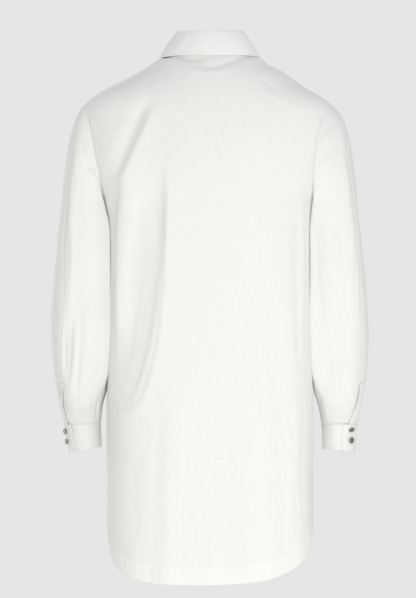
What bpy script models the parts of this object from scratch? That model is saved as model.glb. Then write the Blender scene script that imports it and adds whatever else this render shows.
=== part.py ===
"""A long white blouse, worn and seen without its wearer. Metres, +Z up.

The blouse faces -Y and the wearer's left is +X. The origin is the middle of the neck's base,
at the height where the turned-down collar meets the shoulders.

The body is one smooth tube of rings. Each panel is a piece of that tube between its seams, and
each sleeve is a tube that starts on the armhole and hangs down beside the body. What lies on a
panel, such as a placket or a button, is made from the panel's own points, moved out.
"""

import math

import bmesh
import bpy
import numpy as np
from mathutils import Matrix, Vector

# ---------------------------------------------------------------- sizes in metres
WALL = 0.0015  # cloth of the panels and sleeves
COLLAR_WALL = 0.0016  # interlined cloth of the collar
CUFF_WALL = 0.0018  # doubled cloth of the cuffs
STRIP_WALL = 0.0010  # the narrow strip over the sleeve's vent
SEAM_GAP = 0.0003  # between two pieces at a seam
LAP_GAP = 0.0004  # between two layers that lie on each other

NECK_HALF_WIDTH = 0.058
NECK_BACK = 0.050
NECK_FRONT = 0.052
NECK_FRONT_SQUARE = 2.5  # above 2, the neck's front is flatter than an ellipse
STAND_BACK_HEIGHT = 0.0295
STAND_FRONT_HEIGHT = 0.025
STAND_END_DROP = 0.005  # how much lower its two ends are
STAND_LEAN = 0.15  # how far the stand leans in, for each unit of its height
COLLAR_ROLL = 0.0050  # across the fold, outside to outside
COLLAR_ROLL_SHARE = 0.3  # of the collar's own share from 0 to 1
COLLAR_BULGE = 0.0020  # how far its middle stands off a straight line
COLLAR_CLEAR = 0.0022  # between the collar's edge and the shoulders
COLLAR_SEAT = 0.0010  # between the stand's top and the fold

PLACKET_HALF = 0.0150  # half the front band's width
UNDERLAP_GAP = 0.0022  # between the left front and the band over it
UNDERLAP_END = -0.0120  # x where the left front ends, under the band
UNDERLAP_FULL = 0.0172  # x where the left front has dipped fully under the band
UNDERLAP_START = 0.0255  # x where it begins to dip
DIP_COLUMN_DROP = 0.0060  # where the dip's own columns start below the neck

CUFF_TOP = -0.6225
CUFF_HEIGHT = 0.0435
CUFF_LAP = math.radians(36)  # how far the cuff's ends overlap
CUFF_STEP = CUFF_WALL + LAP_GAP  # how far the outer end stands out
CUFF_STEP_TURN = math.radians(34)  # the turn in which it does so
CUFF_TAPER = 0.0015  # how much shallower it is at its lower edge
STRIP_TOP = -0.553
STRIP_WIDTH = 0.0125
STRIP_BEHIND_SEAM = 0.0020
STRIP_COLUMNS = 4
STRIP_ROWS = 6

SLEEVE_TOP_RING = -0.300  # below here the sleeve is level rings
SLEEVE_CLEAR = 0.0028  # least room between sleeve and body
SLEEVE_SQUARE = 2.25
SLEEVE_SQUARE_INSIDE = 3.1  # flatter where it lies against the body
SLEEVE_NEARER = 0.014  # how far its inner side is pressed against the body above the elbow
SLEEVE_LEAVES = (0.025, 0.110)  # above the cuff: where that begins, and over what height
SLEEVE_FLATTENS = 0.08
# The way a sleeve leaves its armhole: outward, to the back or front, and down. The second of each
# pair is how much less, or more, that is at the shoulder's tip.
CAP_OUTWARD = 0.90
CAP_OUTWARD_LESS = 0.05
CAP_SIDEWAYS = 0.22
CAP_DOWN = 0.28
CAP_DOWN_MORE = 0.24
CAP_UNDER = (0.3, 0.5)  # at the underarm: less outward, more down
CAP_ARRIVE_OUTWARD = 0.08  # the way it arrives at its first level ring
CAP_ARRIVE_PULL = 0.95

BUTTON_RADIUS = 0.0053
BUTTON_HEIGHT = 0.0036
BUTTON_STEM = 0.0020
FRONT_BUTTONS = 8
FRONT_BUTTON_TOP = -0.092
FRONT_BUTTON_STEP = 0.086

# ---------------------------------------------------------------- how finely it is cut
BACK_COLUMNS = 26
FRONT_COLUMNS = 10
SHOULDER_ROWS = 6
ARMHOLE_STEPS = 12  # from the shoulder's tip to the underarm, on the back and on the front
NECK_STEPS = 6  # from the shoulder to the middle of the front neck
SKIRT_ROWS = 18
CAP_ROWS = 6
ARM_ROWS = 12
BUTTON_SIDES = 10
CUFF_COLUMNS_ROUND = 27
CUFF_ROWS_DOWN = 3
STAND_ROWS = 3
ROLL_ROWS = 4
FALL_ROWS = 5

# ---------------------------------------------------------------- tables with named columns
# One row for each level of the body's tube.
BODY_COLUMNS = ("height", "left", "right", "back", "front", "square")
BODY_ROWS = (
    (0.0300, 0.036, 0.036, 0.030, 0.006, 2.00),
    (0.0120, 0.061, 0.061, 0.050, 0.013, 2.00),
    (0.0000, 0.084, 0.086, 0.063, 0.021, 2.05),
    (-0.0120, 0.102, 0.100, 0.073, 0.028, 2.05),
    (-0.0240, 0.120, 0.124, 0.082, 0.035, 2.10),
    (-0.0350, 0.1395, 0.1395, 0.0890, 0.041, 2.15),
    (-0.0490, 0.1675, 0.1590, 0.0960, 0.048, 2.20),
    (-0.0630, 0.1935, 0.1835, 0.1020, 0.056, 2.25),
    (-0.0770, 0.2105, 0.2035, 0.1070, 0.066, 2.28),
    (-0.0920, 0.2190, 0.2155, 0.1115, 0.078, 2.30),
    (-0.1090, 0.2220, 0.2200, 0.1158, 0.090, 2.30),
    (-0.1280, 0.2235, 0.2220, 0.1200, 0.101, 2.30),
    (-0.1550, 0.2195, 0.2185, 0.1250, 0.113, 2.34),
    (-0.1850, 0.2090, 0.2080, 0.1290, 0.123, 2.42),
    (-0.2200, 0.1935, 0.1930, 0.1315, 0.130, 2.52),
    (-0.2500, 0.1830, 0.1830, 0.1320, 0.132, 2.58),
    (-0.2750, 0.1785, 0.1790, 0.1317, 0.132, 2.62),
    (-0.3100, 0.1762, 0.1772, 0.1308, 0.131, 2.70),
    (-0.4000, 0.1752, 0.1762, 0.1280, 0.127, 2.80),
    (-0.5000, 0.1752, 0.1756, 0.1260, 0.125, 2.85),
    (-0.6000, 0.1755, 0.1752, 0.1260, 0.125, 2.88),
    (-0.7000, 0.1755, 0.1750, 0.1270, 0.125, 2.88),
    (-0.8000, 0.1745, 0.1750, 0.1280, 0.125, 2.85),
    (-0.9000, 0.1735, 0.1745, 0.1280, 0.124, 2.80),
)
# The armholes: heights of the shoulder's tip and of the underarm, how far each reaches to the
# back and to the front, how square its top is at the back, and how full the sleeve's cap is.
ARMHOLE_COLUMNS = ("side", "top", "bottom", "back", "front", "square", "fullness")
ARMHOLE_ROWS = (
    ("left", -0.0770, -0.2620, 0.068, 0.058, 0.85, 0.55),
    ("right", -0.0790, -0.2620, 0.083, 0.058, 0.62, 0.70),
)
# The hem's height at angles round the body from the side seam (0) to the middle (90).
HEM_COLUMNS = ("turn", "back_left", "back_right", "front")
HEM_ROWS = (
    (0, -0.792, -0.788, -0.790),
    (5, -0.804, -0.798, -0.797),
    (11, -0.825, -0.815, -0.808),
    (17, -0.842, -0.829, -0.820),
    (25, -0.858, -0.845, -0.832),
    (36, -0.872, -0.861, -0.845),
    (52, -0.884, -0.876, -0.856),
    (70, -0.891, -0.887, -0.862),
    (90, -0.8925, -0.8925, -0.864),
)
# One row for each level of a sleeve: how far its outer and inner sides stand from the middle of
# the body, where its back and front lie, and the turn of its long seam behind the outer side.
SLEEVE_COLUMNS = ("height", "outer", "inner", "back", "front", "seam")
SLEEVE_ROWS = {
    "left": (
        (-0.300, 0.2590, 0.1745, 0.072, -0.062, 46),
        (-0.350, 0.2630, 0.1730, 0.072, -0.064, 52),
        (-0.400, 0.2675, 0.1725, 0.070, -0.065, 57),
        (-0.465, 0.2705, 0.1730, 0.064, -0.064, 54),
        (-0.520, 0.2665, 0.1745, 0.054, -0.063, 48),
        (-0.560, 0.2610, 0.1785, 0.045, -0.062, 40),
        (-0.590, 0.2550, 0.1825, 0.034, -0.061, 30),
        (-0.608, 0.2505, 0.1845, 0.022, -0.061, 23),
        (-0.622, 0.2465, 0.1860, 0.013, -0.062, 20),
    ),
    "right": (
        (-0.300, 0.2560, 0.1750, 0.074, -0.062, 40),
        (-0.350, 0.2615, 0.1745, 0.073, -0.064, 38),
        (-0.400, 0.2660, 0.1740, 0.071, -0.065, 42),
        (-0.485, 0.2690, 0.1735, 0.062, -0.064, 43),
        (-0.545, 0.2660, 0.1765, 0.050, -0.062, 34),
        (-0.578, 0.2605, 0.1815, 0.040, -0.061, 32),
        (-0.600, 0.2565, 0.1860, 0.028, -0.060, 38),
        (-0.612, 0.2535, 0.1880, 0.020, -0.060, 42),
        (-0.622, 0.2505, 0.1900, 0.013, -0.061, 45),
    ),
}
CAP_SEAM = math.pi / ARMHOLE_STEPS  # where the long seam leaves the armhole
# The cuffs: the middle and half width of the top and bottom ring, the depth half way, the fall of
# the ring from its inner to its outer side, and the turn of the outer end's free edge.
CUFF_COLUMNS = (
    "side",
    "top_x",
    "top_half",
    "end_x",
    "end_half",
    "middle_y",
    "depth",
    "fall",
    "edge",
)
CUFF_ROWS = (
    ("left", 0.2162, 0.0303, 0.2115, 0.0272, -0.0245, 0.0375, 0.0110, 50),
    ("right", -0.2202, 0.0303, -0.2192, 0.0285, -0.0240, 0.0370, 0.0040, 80),
)
CUFF_BUTTON_BACK = math.radians(28)  # from the free edge to the buttons
CUFF_BUTTON_DROPS = (0.0105, 0.0260)  # below the cuff's top
# The lower edge of the turned-down collar, by angle round the neck from the middle of the back
# (90) over the shoulder (0) to the front: its place in plan and its least height.
COLLAR_COLUMNS = ("turn", "across", "back", "least")
COLLAR_ROWS = (
    (-82, 0.0345, -0.0720, -0.200),
    (-60, 0.0580, -0.0580, -0.200),
    (-30, 0.0780, -0.0300, -0.200),
    (0, 0.0845, 0.0000, 0.0010),
    (30, 0.0720, 0.0360, 0.0035),
    (60, 0.0415, 0.0585, 0.0045),
    (90, 0.0000, 0.0650, 0.0045),
)
# The largest folds. Each runs down through four places (across, height); a trough has a depth
# below zero, and it may be sharper on one side. "face" is the back or the front of the body.
FOLD_COLUMNS = ("face", "path", "depth", "left_width", "right_width")
FOLD_ROWS = (
    ("back", ((0.104, -0.063), (0.126, -0.122), (0.147, -0.173), (0.162, -0.216)), -0.005, 0.03, 0.02),
    ("back", ((0.092, -0.071), (0.116, -0.131), (0.135, -0.173), (0.158, -0.236)), 0.004, 0.018, 0.028),
    ("back", ((0.132, -0.19), (0.147, -0.275), (0.156, -0.36), (0.163, -0.501)), 0.005, 0.026, 0.024),
    ("back", ((0.096, -0.16), (0.111, -0.32), (0.131, -0.45), (0.157, -0.6)), -0.0085, 0.036, 0.031),
    ("back", ((-0.11, -0.42), (-0.12, -0.56), (-0.128, -0.72), (-0.13, -0.88)), -0.004, 0.028, 0.03),
    ("back", ((0.06, -0.56), (0.064, -0.68), (0.07, -0.8), (0.074, -0.9)), 0.004, 0.03, 0.026),
    ("back", ((-0.02, -0.6), (-0.026, -0.7), (-0.03, -0.8), (-0.034, -0.9)), -0.003, 0.034, 0.034),
    ("front", ((0.118, -0.24), (0.112, -0.38), (0.1, -0.56), (0.094, -0.74)), -0.006, 0.026, 0.036),
    ("front", ((0.07, -0.3), (0.064, -0.48), (0.06, -0.68), (0.06, -0.86)), 0.0045, 0.03, 0.026),
    ("front", ((-0.112, -0.235), (-0.104, -0.4), (-0.096, -0.59), (-0.086, -0.78)), -0.006, 0.036, 0.026),
    ("front", ((-0.066, -0.33), (-0.06, -0.5), (-0.058, -0.7), (-0.06, -0.86)), 0.0045, 0.026, 0.03),
    ("front", ((0.13, -0.11), (0.12, -0.15), (0.112, -0.19), (0.104, -0.24)), 0.0035, 0.024, 0.024),
    ("front", ((-0.128, -0.112), (-0.118, -0.15), (-0.11, -0.195), (-0.104, -0.245)), 0.0035, 0.024, 0.024),
)
FOLDS_REACH_HEM = -0.850  # a fold that ends below here runs out over the hem
FOLDS_BEGIN = 0.42  # how far toward the back or the front, from the side, they begin
# The largest folds of the sleeves: they run down through (turn in degrees, height).
SLEEVE_FOLD_COLUMNS = ("side", "path", "depth", "width")
SLEEVE_FOLD_ROWS = (
    ("left", ((92, -0.330), (84, -0.410), (74, -0.480), (66, -0.560)), -0.0035, 22),
    ("left", ((150, -0.360), (140, -0.440), (128, -0.520), (116, -0.600)), 0.0030, 24),
    ("left", ((-60, -0.330), (-52, -0.420), (-56, -0.500), (-64, -0.590)), -0.0040, 26),
    ("left", ((-120, -0.400), (-112, -0.470), (-104, -0.540), (-98, -0.606)), 0.0030, 26),
    ("right", ((96, -0.340), (88, -0.420), (84, -0.500), (86, -0.590)), -0.0035, 22),
    ("right", ((146, -0.360), (138, -0.430), (130, -0.510), (118, -0.600)), 0.0030, 24),
    ("right", ((-58, -0.320), (-50, -0.410), (-56, -0.500), (-66, -0.590)), -0.0040, 26),
    ("right", ((-118, -0.400), (-112, -0.470), (-106, -0.540), (-100, -0.606)), 0.0030, 26),
)


# ---------------------------------------------------------------- curves and tables
def curve(at, values):
    """A smooth curve through the points that never passes beyond them."""
    order = np.argsort(at)
    at, values = np.array(at, float)[order], np.array(values, float)[order]
    step = np.diff(at)
    rise = np.diff(values) / step
    slope = np.concatenate([rise[:1], np.zeros(len(rise) - 1), rise[-1:]])
    together = np.where(rise[1:] * rise[:-1] > 0)[0]
    pair = rise[1:][together] + rise[:-1][together]
    slope[together + 1] = 2 * rise[1:][together] * rise[:-1][together] / pair

    def value(x):
        x = np.clip(x, at[0], at[-1])
        i = np.clip(np.searchsorted(at, x, side="right") - 1, 0, len(step) - 1)
        t = (x - at[i]) / step[i]
        a, b = slope[i] * step[i], slope[i + 1] * step[i]
        up = values[i + 1] - values[i]
        return values[i] + t * (a + t * (3 * up - 2 * a - b + t * (a + b - 2 * up)))

    return value


def curves(names, rows):
    """One curve for each named column, against the first column."""
    columns = list(zip(*rows))
    return {name: curve(columns[0], values) for name, values in zip(names[1:], columns[1:])}


def named(names, rows):
    return [dict(zip(names, row)) for row in rows]


BODY = curves(BODY_COLUMNS, BODY_ROWS)
HEM = curves(HEM_COLUMNS, HEM_ROWS)
COLLAR = curves(COLLAR_COLUMNS, COLLAR_ROWS)
SLEEVES = {side: curves(SLEEVE_COLUMNS, rows) for side, rows in SLEEVE_ROWS.items()}
ARMHOLES = {row["side"]: row for row in named(ARMHOLE_COLUMNS, ARMHOLE_ROWS)}
CUFFS = {row["side"]: row for row in named(CUFF_COLUMNS, CUFF_ROWS)}
SIGN = {"left": 1.0, "right": -1.0}


def soft(x):
    """0 to 1, smooth at both ends."""
    x = np.clip(x, 0, 1)
    return x * x * (3 - 2 * x)


def hump(x):
    """1 at 0, falling softly to 0 at -1 and 1."""
    return np.clip(1 - x * x, 0, 1) ** 2


def unit(v):
    return v / np.linalg.norm(v, axis=-1, keepdims=True)


def points(x, y, z):
    return np.stack(np.broadcast_arrays(x, y, z), axis=-1).astype(float)


# ---------------------------------------------------------------- the body's tube
def sizes_at(p):
    """Half width and depth of the ring through each point, on that point's side."""
    x, y, z = p[..., 0], p[..., 1], p[..., 2]
    half = np.where(x > 0, BODY["left"](z), BODY["right"](z))
    deep = np.where(y > 0, BODY["back"](z), BODY["front"](z))
    return half, deep, BODY["square"](z)


def beyond(p):
    """Above 0 outside the tube, below 0 inside it."""
    half, deep, square = sizes_at(p)
    return (np.abs(p[..., 0]) / half) ** square + (np.abs(p[..., 1]) / deep) ** square - 1


def body_normal(p, step=0.0002):
    across = [(beyond(p + d) - beyond(p - d)) for d in step * np.eye(3)]
    return unit(np.stack(across, axis=-1))


def ring(turn, height):
    """A point of the tube: turn 0 is the left side, 90 degrees the back, 180 the right side."""
    power = 2 / BODY["square"](height)
    c, s = np.cos(turn), np.sin(turn)
    half = np.where(c > 0, BODY["left"](height), BODY["right"](height))
    deep = np.where(s > 0, BODY["back"](height), BODY["front"](height))
    x = half * np.sign(c) * np.abs(c) ** power
    y = deep * np.sign(s) * np.abs(s) ** power
    return points(x, y, height)


def turn_of(p):
    """The turn that ring() needs to give this point of the tube."""
    half, deep, square = sizes_at(p)
    s = np.sign(p[..., 1]) * (np.abs(p[..., 1]) / deep) ** (square / 2)
    c = np.sign(p[..., 0]) * (np.abs(p[..., 0]) / half) ** (square / 2)
    return np.arctan2(s, c)


def height_of(x, y):
    """The height of the shoulders over a place in plan."""
    x, y = np.broadcast_arrays(np.asarray(x, float), np.asarray(y, float))
    low, high = np.full(x.shape, -0.250), np.full(x.shape, 0.029)
    for _ in range(40):
        middle = (low + high) / 2
        out = beyond(points(x, y, middle)) > 0
        high, low = np.where(out, middle, high), np.where(out, low, middle)
    return (low + high) / 2


def body_folds(p):
    """How far the folds lift the cloth at each point of the tube."""
    x, y, z = p[..., 0], p[..., 1], p[..., 2]
    lift = np.zeros(x.shape)
    for fold in named(FOLD_COLUMNS, FOLD_ROWS):
        across, height = zip(*fold["path"])
        middle = curve(height, across)(z)
        length = height[0] - height[-1]
        ends = soft((height[0] - z) / (0.25 * length))
        if height[-1] > FOLDS_REACH_HEM:
            ends = ends * soft((z - height[-1]) / (0.25 * length))
        width = np.where(x > middle, fold["left_width"], fold["right_width"])
        facing = (y > 0) if fold["face"] == "back" else (y < 0)
        lift += fold["depth"] * hump((x - middle) / width) * ends * facing
    deep = np.where(y > 0, BODY["back"](z), BODY["front"](z))
    return lift * soft((np.abs(y) / deep - FOLDS_BEGIN) / 0.3)


def cloth(turn, height):
    """The outside of the body's cloth, with its folds, and which way is out."""
    base = ring(turn, height)
    out = body_normal(base)
    return base + out * body_folds(base)[..., None], out


def hem_height(turn):
    from_side = np.degrees(np.arcsin(np.abs(np.sin(turn))))
    back = np.where(np.cos(turn) > 0, HEM["back_left"](from_side), HEM["back_right"](from_side))
    return np.where(np.sin(turn) > 0, back, HEM["front"](from_side))


def even_shares(count, start, end, height=-0.200):
    """Shares 0 to 1 whose turns between start and end are evenly spaced along the ring."""
    fine = np.linspace(0, 1, 401)
    path = ring(start + (end - start) * fine, np.full(401, height))
    run = np.concatenate([[0], np.cumsum(np.linalg.norm(np.diff(path, axis=0), axis=1))])
    return np.interp(np.linspace(0, run[-1], count + 1), run, fine)


# ---------------------------------------------------------------- the armholes and the neck
def armhole_point(side, turn):
    """A point of the armhole: turn 0 is the shoulder's tip, 90 degrees the back, 180 the underarm."""
    hole = ARMHOLES[side]
    middle, half = (hole["top"] + hole["bottom"]) / 2, (hole["top"] - hole["bottom"]) / 2
    height = middle + half * np.cos(turn)
    s = np.sin(turn)
    s = np.where(np.abs(s) < 1e-9, 0, s)
    reach = np.where(s > 0, hole["back"] * np.abs(s) ** hole["square"], -hole["front"] * np.abs(s))
    deep = np.where(reach > 0, BODY["back"](height), BODY["front"](height))
    width = BODY["left" if side == "left" else "right"](height)
    square = BODY["square"](height)
    x = width * (1 - (np.abs(reach) / deep) ** square) ** (1 / square)
    return points(SIGN[side] * x, reach, height)


def armhole_place(side, turn):
    """The armhole's points as turn and height on the body's tube."""
    p = armhole_point(side, turn)
    around = turn_of(p)
    if side == "right":
        around = np.where(around < -1e-9, around + 2 * math.pi, np.where(around < 1e-9, math.pi, around))
    return np.stack([around, p[..., 2]], axis=-1)


def neck_point(turn):
    """A point of the neck seam: turn 0 is the left side, 90 degrees the back."""
    c, s = np.cos(turn), np.sin(turn)
    power = np.where(s > 0, 1.0, 2 / NECK_FRONT_SQUARE)
    x = NECK_HALF_WIDTH * np.sign(c) * np.abs(c) ** power
    y = np.where(s > 0, NECK_BACK, NECK_FRONT) * np.sign(s) * np.abs(s) ** power
    return points(x, y, height_of(x, y))


def neck_turn_at(x):
    """The neck's turn, on the front, where it crosses this x."""
    share = (abs(x) / NECK_HALF_WIDTH) ** (NECK_FRONT_SQUARE / 2)
    return -math.acos(math.copysign(share, x))


def neck_place(turn):
    p = neck_point(turn)
    around = turn_of(p)
    return np.stack([around, p[..., 2]], axis=-1)


def underlap(x):
    """How far the left front lies in, so that the band and the stand's end lie on it."""
    return (WALL + UNDERLAP_GAP) * soft((UNDERLAP_START - x) / (UNDERLAP_START - UNDERLAP_FULL))


# ---------------------------------------------------------------- walls
def pull_in(grid, edge, gap):
    """Moves one edge of a grid of points towards its neighbours, for the gap at a seam."""
    rows = {"first": (0, 1), "last": (-1, -2)}
    if edge in rows:
        here, there = rows[edge]
        grid[here] += unit(grid[there] - grid[here]) * gap
    else:
        here, there = rows[edge.replace("_column", "")]
        grid[:, here] += unit(grid[:, there] - grid[:, here]) * gap


def wall(name, face, lining, material, gaps=()):
    """A closed solid between two grids of points: its outside and its inside."""
    face, lining = face.copy(), lining.copy()
    for edge, gap in gaps:
        pull_in(face, edge, gap)
        pull_in(lining, edge, gap)
    rows, columns = face.shape[:2]
    corners = np.concatenate([face.reshape(-1, 3), lining.reshape(-1, 3)])
    number = np.arange(rows * columns).reshape(rows, columns)
    back = number + rows * columns
    faces = []
    for r in range(rows - 1):
        for c in range(columns - 1):
            faces.append((number[r, c], number[r, c + 1], number[r + 1, c + 1], number[r + 1, c]))
            faces.append((back[r, c], back[r + 1, c], back[r + 1, c + 1], back[r, c + 1]))
    rim = [number[0, ::-1], number[:, 0], number[-1], number[::-1, -1]]
    for line in rim:
        for a, b in zip(line[:-1], line[1:]):
            faces.append((a, b, b + rows * columns, a + rows * columns))
    mesh = bpy.data.meshes.new(name)
    mesh.from_pydata(corners.tolist(), [], [tuple(map(int, f)) for f in faces])
    closed = bmesh.new()
    closed.from_mesh(mesh)
    bmesh.ops.recalc_face_normals(closed, faces=closed.faces)
    if closed.calc_volume(signed=True) < 0:
        bmesh.ops.reverse_faces(closed, faces=closed.faces)
    closed.to_mesh(mesh)
    closed.free()
    mesh.shade_smooth()
    mesh.set_sharp_from_angle(angle=math.radians(50))
    return add(name, mesh, material)


def add(name, mesh, material):
    piece = bpy.data.objects.new(name, mesh)
    if not mesh.materials:
        mesh.materials.append(material)
    piece.parent = bpy.data.objects["blouse"]
    bpy.context.scene.collection.objects.link(piece)
    return piece


def panel(name, places, material, gaps=(), sink=None):
    """A wall on the body's tube, from its grid of (turn, height)."""
    face, out = cloth(places[..., 0], places[..., 1])
    if sink is not None:
        face = face - out * sink(face[..., 0])[..., None]
    return wall(name, face, face - out * WALL, material, gaps)


# ---------------------------------------------------------------- materials
def finish(name, colour, roughness, metallic=0.0):
    material = bpy.data.materials.new(name)
    material.use_nodes = True
    shader = material.node_tree.nodes["Principled BSDF"]
    shader.inputs["Base Color"].default_value = (*colour, 1.0)
    shader.inputs["Roughness"].default_value = roughness
    shader.inputs["Metallic"].default_value = metallic
    material.diffuse_color = (*colour, 1.0)
    return material


# ---------------------------------------------------------------- body panels
def armhole_turns():
    return np.linspace(0, math.pi, ARMHOLE_STEPS + 1)


def back_panel(material):
    """From the neck seam down between the shoulder seams, the armholes and the side seams."""
    shares = even_shares(BACK_COLUMNS, 0, math.pi)
    left = armhole_place("left", armhole_turns())
    right = armhole_place("right", armhole_turns())
    left[-1, 0], right[-1, 0] = 0, math.pi
    neck = neck_place(math.pi * shares)
    neck[0, 0], neck[-1, 0] = 0, math.pi
    # The ends of the rows: down each shoulder seam, then down each armhole.
    down = np.linspace(0, 1, SHOULDER_ROWS + 1)[:-1, None]
    left = np.concatenate([neck[0] + (left[0] - neck[0]) * down, left])
    right = np.concatenate([neck[-1] + (right[0] - neck[-1]) * down, right])
    # Away from its ends each row lies evenly between the neck and the underarm.
    under = (left[-1, 1] + right[-1, 1]) / 2
    count = SHOULDER_ROWS + ARMHOLE_STEPS
    rows = []
    for k, (start, end) in enumerate(zip(left, right)):
        row = start + (end - start) * shares[:, None]
        level = neck[:, 1] + (under - neck[:, 1]) * k / count
        row[:, 1] += (level - row[:, 1]) * (1 - (2 * shares - 1) ** 6)
        rows.append(row)
    turns = rows[-1][:, 0]
    for k in range(1, SKIRT_ROWS + 1):
        height = rows[SHOULDER_ROWS + ARMHOLE_STEPS][:, 1]
        height = height + (hem_height(turns) - height) * k / SKIRT_ROWS
        rows.append(np.stack([turns, height], axis=-1))
    half = SEAM_GAP / 2
    return panel("back", np.stack(rows), material, (("first_column", half), ("last_column", half)))


def front_levels():
    """Heights down the middle of the front, from below the neck seam to the hem."""
    under = ARMHOLES["left"]["bottom"]
    low = float(neck_point(np.array(-math.pi / 2))[2])
    bottom = float(hem_height(np.array(-math.pi / 2)))
    above = np.arange(1, ARMHOLE_STEPS - NECK_STEPS + 1) / (ARMHOLE_STEPS - NECK_STEPS)
    below = np.arange(1, SKIRT_ROWS + 1) / SKIRT_ROWS
    return np.concatenate([low + (under - low) * above, under + (bottom - under) * below])


def front_neck_turns(side):
    """The neck's turns from the shoulder to a front's edge. The left front has one more at each
    end of its dip."""
    if side == "left":
        main = np.linspace(0, neck_turn_at(UNDERLAP_START), NECK_STEPS - 1)
        return np.concatenate([main, [neck_turn_at(UNDERLAP_FULL), neck_turn_at(UNDERLAP_END)]])
    return np.linspace(-math.pi, neck_turn_at(-PLACKET_HALF), NECK_STEPS + 1)


def edge_places(x, levels):
    """Turn and height down a line at this x on the front."""
    down = turn_of(points(x, -edge_depth(x, levels), levels))
    return np.stack([down, levels], axis=-1)


def front_panel(side, edge, material, sink=None):
    """From the shoulder seam down between the neck, the front edge, the armhole and the side."""
    seam = 0.0 if side == "left" else math.pi
    under = ARMHOLES[side]["bottom"]
    outer = armhole_place(side, -armhole_turns())
    outer[0, 0] = outer[-1, 0] = seam
    skirt = np.stack([np.full(SKIRT_ROWS, seam), np.full(SKIRT_ROWS, under)], axis=-1)
    outer = np.concatenate([outer, skirt])
    around = neck_place(front_neck_turns(side))
    around[0, 0] = seam if side == "left" else -seam
    levels = front_levels()
    columns = [np.concatenate([around, edge_places(edge, levels)])]
    if side == "left":
        # Two columns beside the front edge keep the dip's shape.
        near = outer[: NECK_STEPS - 1]
        beside = around[: NECK_STEPS - 1] - near
        low = around[-1, 1] - DIP_COLUMN_DROP * np.array([0.5, 1.0])
        dip_full = edge_places(np.array([UNDERLAP_START, UNDERLAP_FULL]), low)
        dip_full = np.concatenate([near + beside * 0.97, dip_full, edge_places(UNDERLAP_FULL, levels)])
        dip_start = edge_places(np.array([UNDERLAP_START * 1.5, UNDERLAP_START]), low - DIP_COLUMN_DROP / 2)
        dip_start = np.concatenate([near + beside * 0.93, dip_start, edge_places(UNDERLAP_START, levels)])
        columns = [dip_start, dip_full] + columns
    else:
        columns[0][:, 0] += 2 * math.pi
        outer[:, 0] = np.where(outer[:, 0] < 1e-9, outer[:, 0] + 2 * math.pi, outer[:, 0])
    main = columns[0]
    shares = even_shares(FRONT_COLUMNS, seam, main[-1, 0])
    grid = outer[:, None] + (main - outer)[:, None] * shares[None, :, None]
    grid = np.concatenate([grid, *[column[:, None] for column in columns[1:]]], axis=1)
    # Below the armhole each row bends to follow the hem.
    for k in range(1, SKIRT_ROWS + 1):
        row = grid[ARMHOLE_STEPS + k]
        row[:, 1] = under + (hem_height(row[:, 0]) - under) * k / SKIRT_ROWS
    gaps = [("first_column", SEAM_GAP / 2), ("first", SEAM_GAP)]
    if side == "right":
        gaps.append(("last_column", SEAM_GAP))
    return panel("front_" + side, grid, material, gaps, sink)


def edge_depth(x, height):
    """How far in front of the middle the tube lies at this x."""
    half = np.where(np.asarray(x) > 0, BODY["left"](height), BODY["right"](height))
    square = BODY["square"](height)
    return BODY["front"](height) * (1 - (np.abs(x) / half) ** square) ** (1 / square)


def band_face():
    """The front band's outside: two columns of points, down its right and its left edge."""
    columns = []
    for x in (-PLACKET_HALF, PLACKET_HALF):
        top = float(neck_point(np.array(neck_turn_at(x)))[2])
        levels = np.concatenate([[top], front_levels()])
        columns.append(points(x, -edge_depth(x, levels), levels))
    places = np.stack(columns, axis=1)
    out = body_normal(places)
    return places + out * body_folds(places)[..., None], out


def front_band(material):
    """The placket that carries the buttons, between the right front's edge and the left front."""
    face, out = band_face()
    return wall("front_placket", face, face - out * WALL, material)


# ---------------------------------------------------------------- the collar
def neck_out(turn):
    """Straight out from the neck, level."""
    place = neck_point(turn)
    power = np.where(place[..., 1] > 0, 2.0, NECK_FRONT_SQUARE) - 1
    deep = np.where(place[..., 1] > 0, NECK_BACK, NECK_FRONT)
    x, y = place[..., 0] / NECK_HALF_WIDTH, place[..., 1] / deep
    x = np.sign(x) * np.abs(x) ** power / NECK_HALF_WIDTH
    y = np.sign(y) * np.abs(y) ** power / deep
    return unit(points(x, y, 0))


def stand_height(turn):
    forward = soft(-np.sin(turn))
    return STAND_BACK_HEIGHT + (STAND_FRONT_HEIGHT - STAND_BACK_HEIGHT) * forward


def stand_frame(turn):
    """The stand's foot, its direction up, and its direction out, at a turn round the neck."""
    foot = neck_point(turn)
    level = neck_out(turn)
    up = unit(points(0, 0, 1) - level * STAND_LEAN)
    out = unit(level + points(0, 0, 1) * STAND_LEAN)
    return foot, up, out


def stand_turns():
    """From the left end, under the right end, round the back to the right end."""
    left = front_neck_turns("left")[::-1]
    back = math.pi * even_shares(BACK_COLUMNS, 0, math.pi)[::2]
    right = 2 * math.pi + front_neck_turns("right")
    lap = [2 * math.pi + neck_turn_at(PLACKET_HALF)]
    return np.concatenate([left, back[1:], right[1:], lap])


def collar_stand(material):
    turns = stand_turns()
    foot, up, out = stand_frame(turns)
    left_front = (turns < math.pi / 2) & (foot[:, 1] < 0)
    foot = foot - out * (underlap(foot[:, 0]) * left_front)[:, None]
    height = stand_height(turns)
    height[[0, -1]] -= STAND_END_DROP
    shares = np.linspace(0, 1, STAND_ROWS)
    face = foot + up * (SEAM_GAP + height * shares[:, None])[..., None]
    return wall("collar_stand", face, face - out * COLLAR_WALL, material)


def collar_edge(turn):
    """The lower edge of the turned-down part."""
    from_back = np.abs(turn - math.pi / 2)
    degrees = 90 - np.degrees(from_back)
    x = COLLAR["across"](degrees) * np.where(turn > math.pi / 2, -1, 1)
    y = COLLAR["back"](degrees)
    z = np.maximum(COLLAR["least"](degrees), height_of(x, y) + COLLAR_CLEAR + COLLAR_WALL)
    return points(x, y, z)


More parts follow.
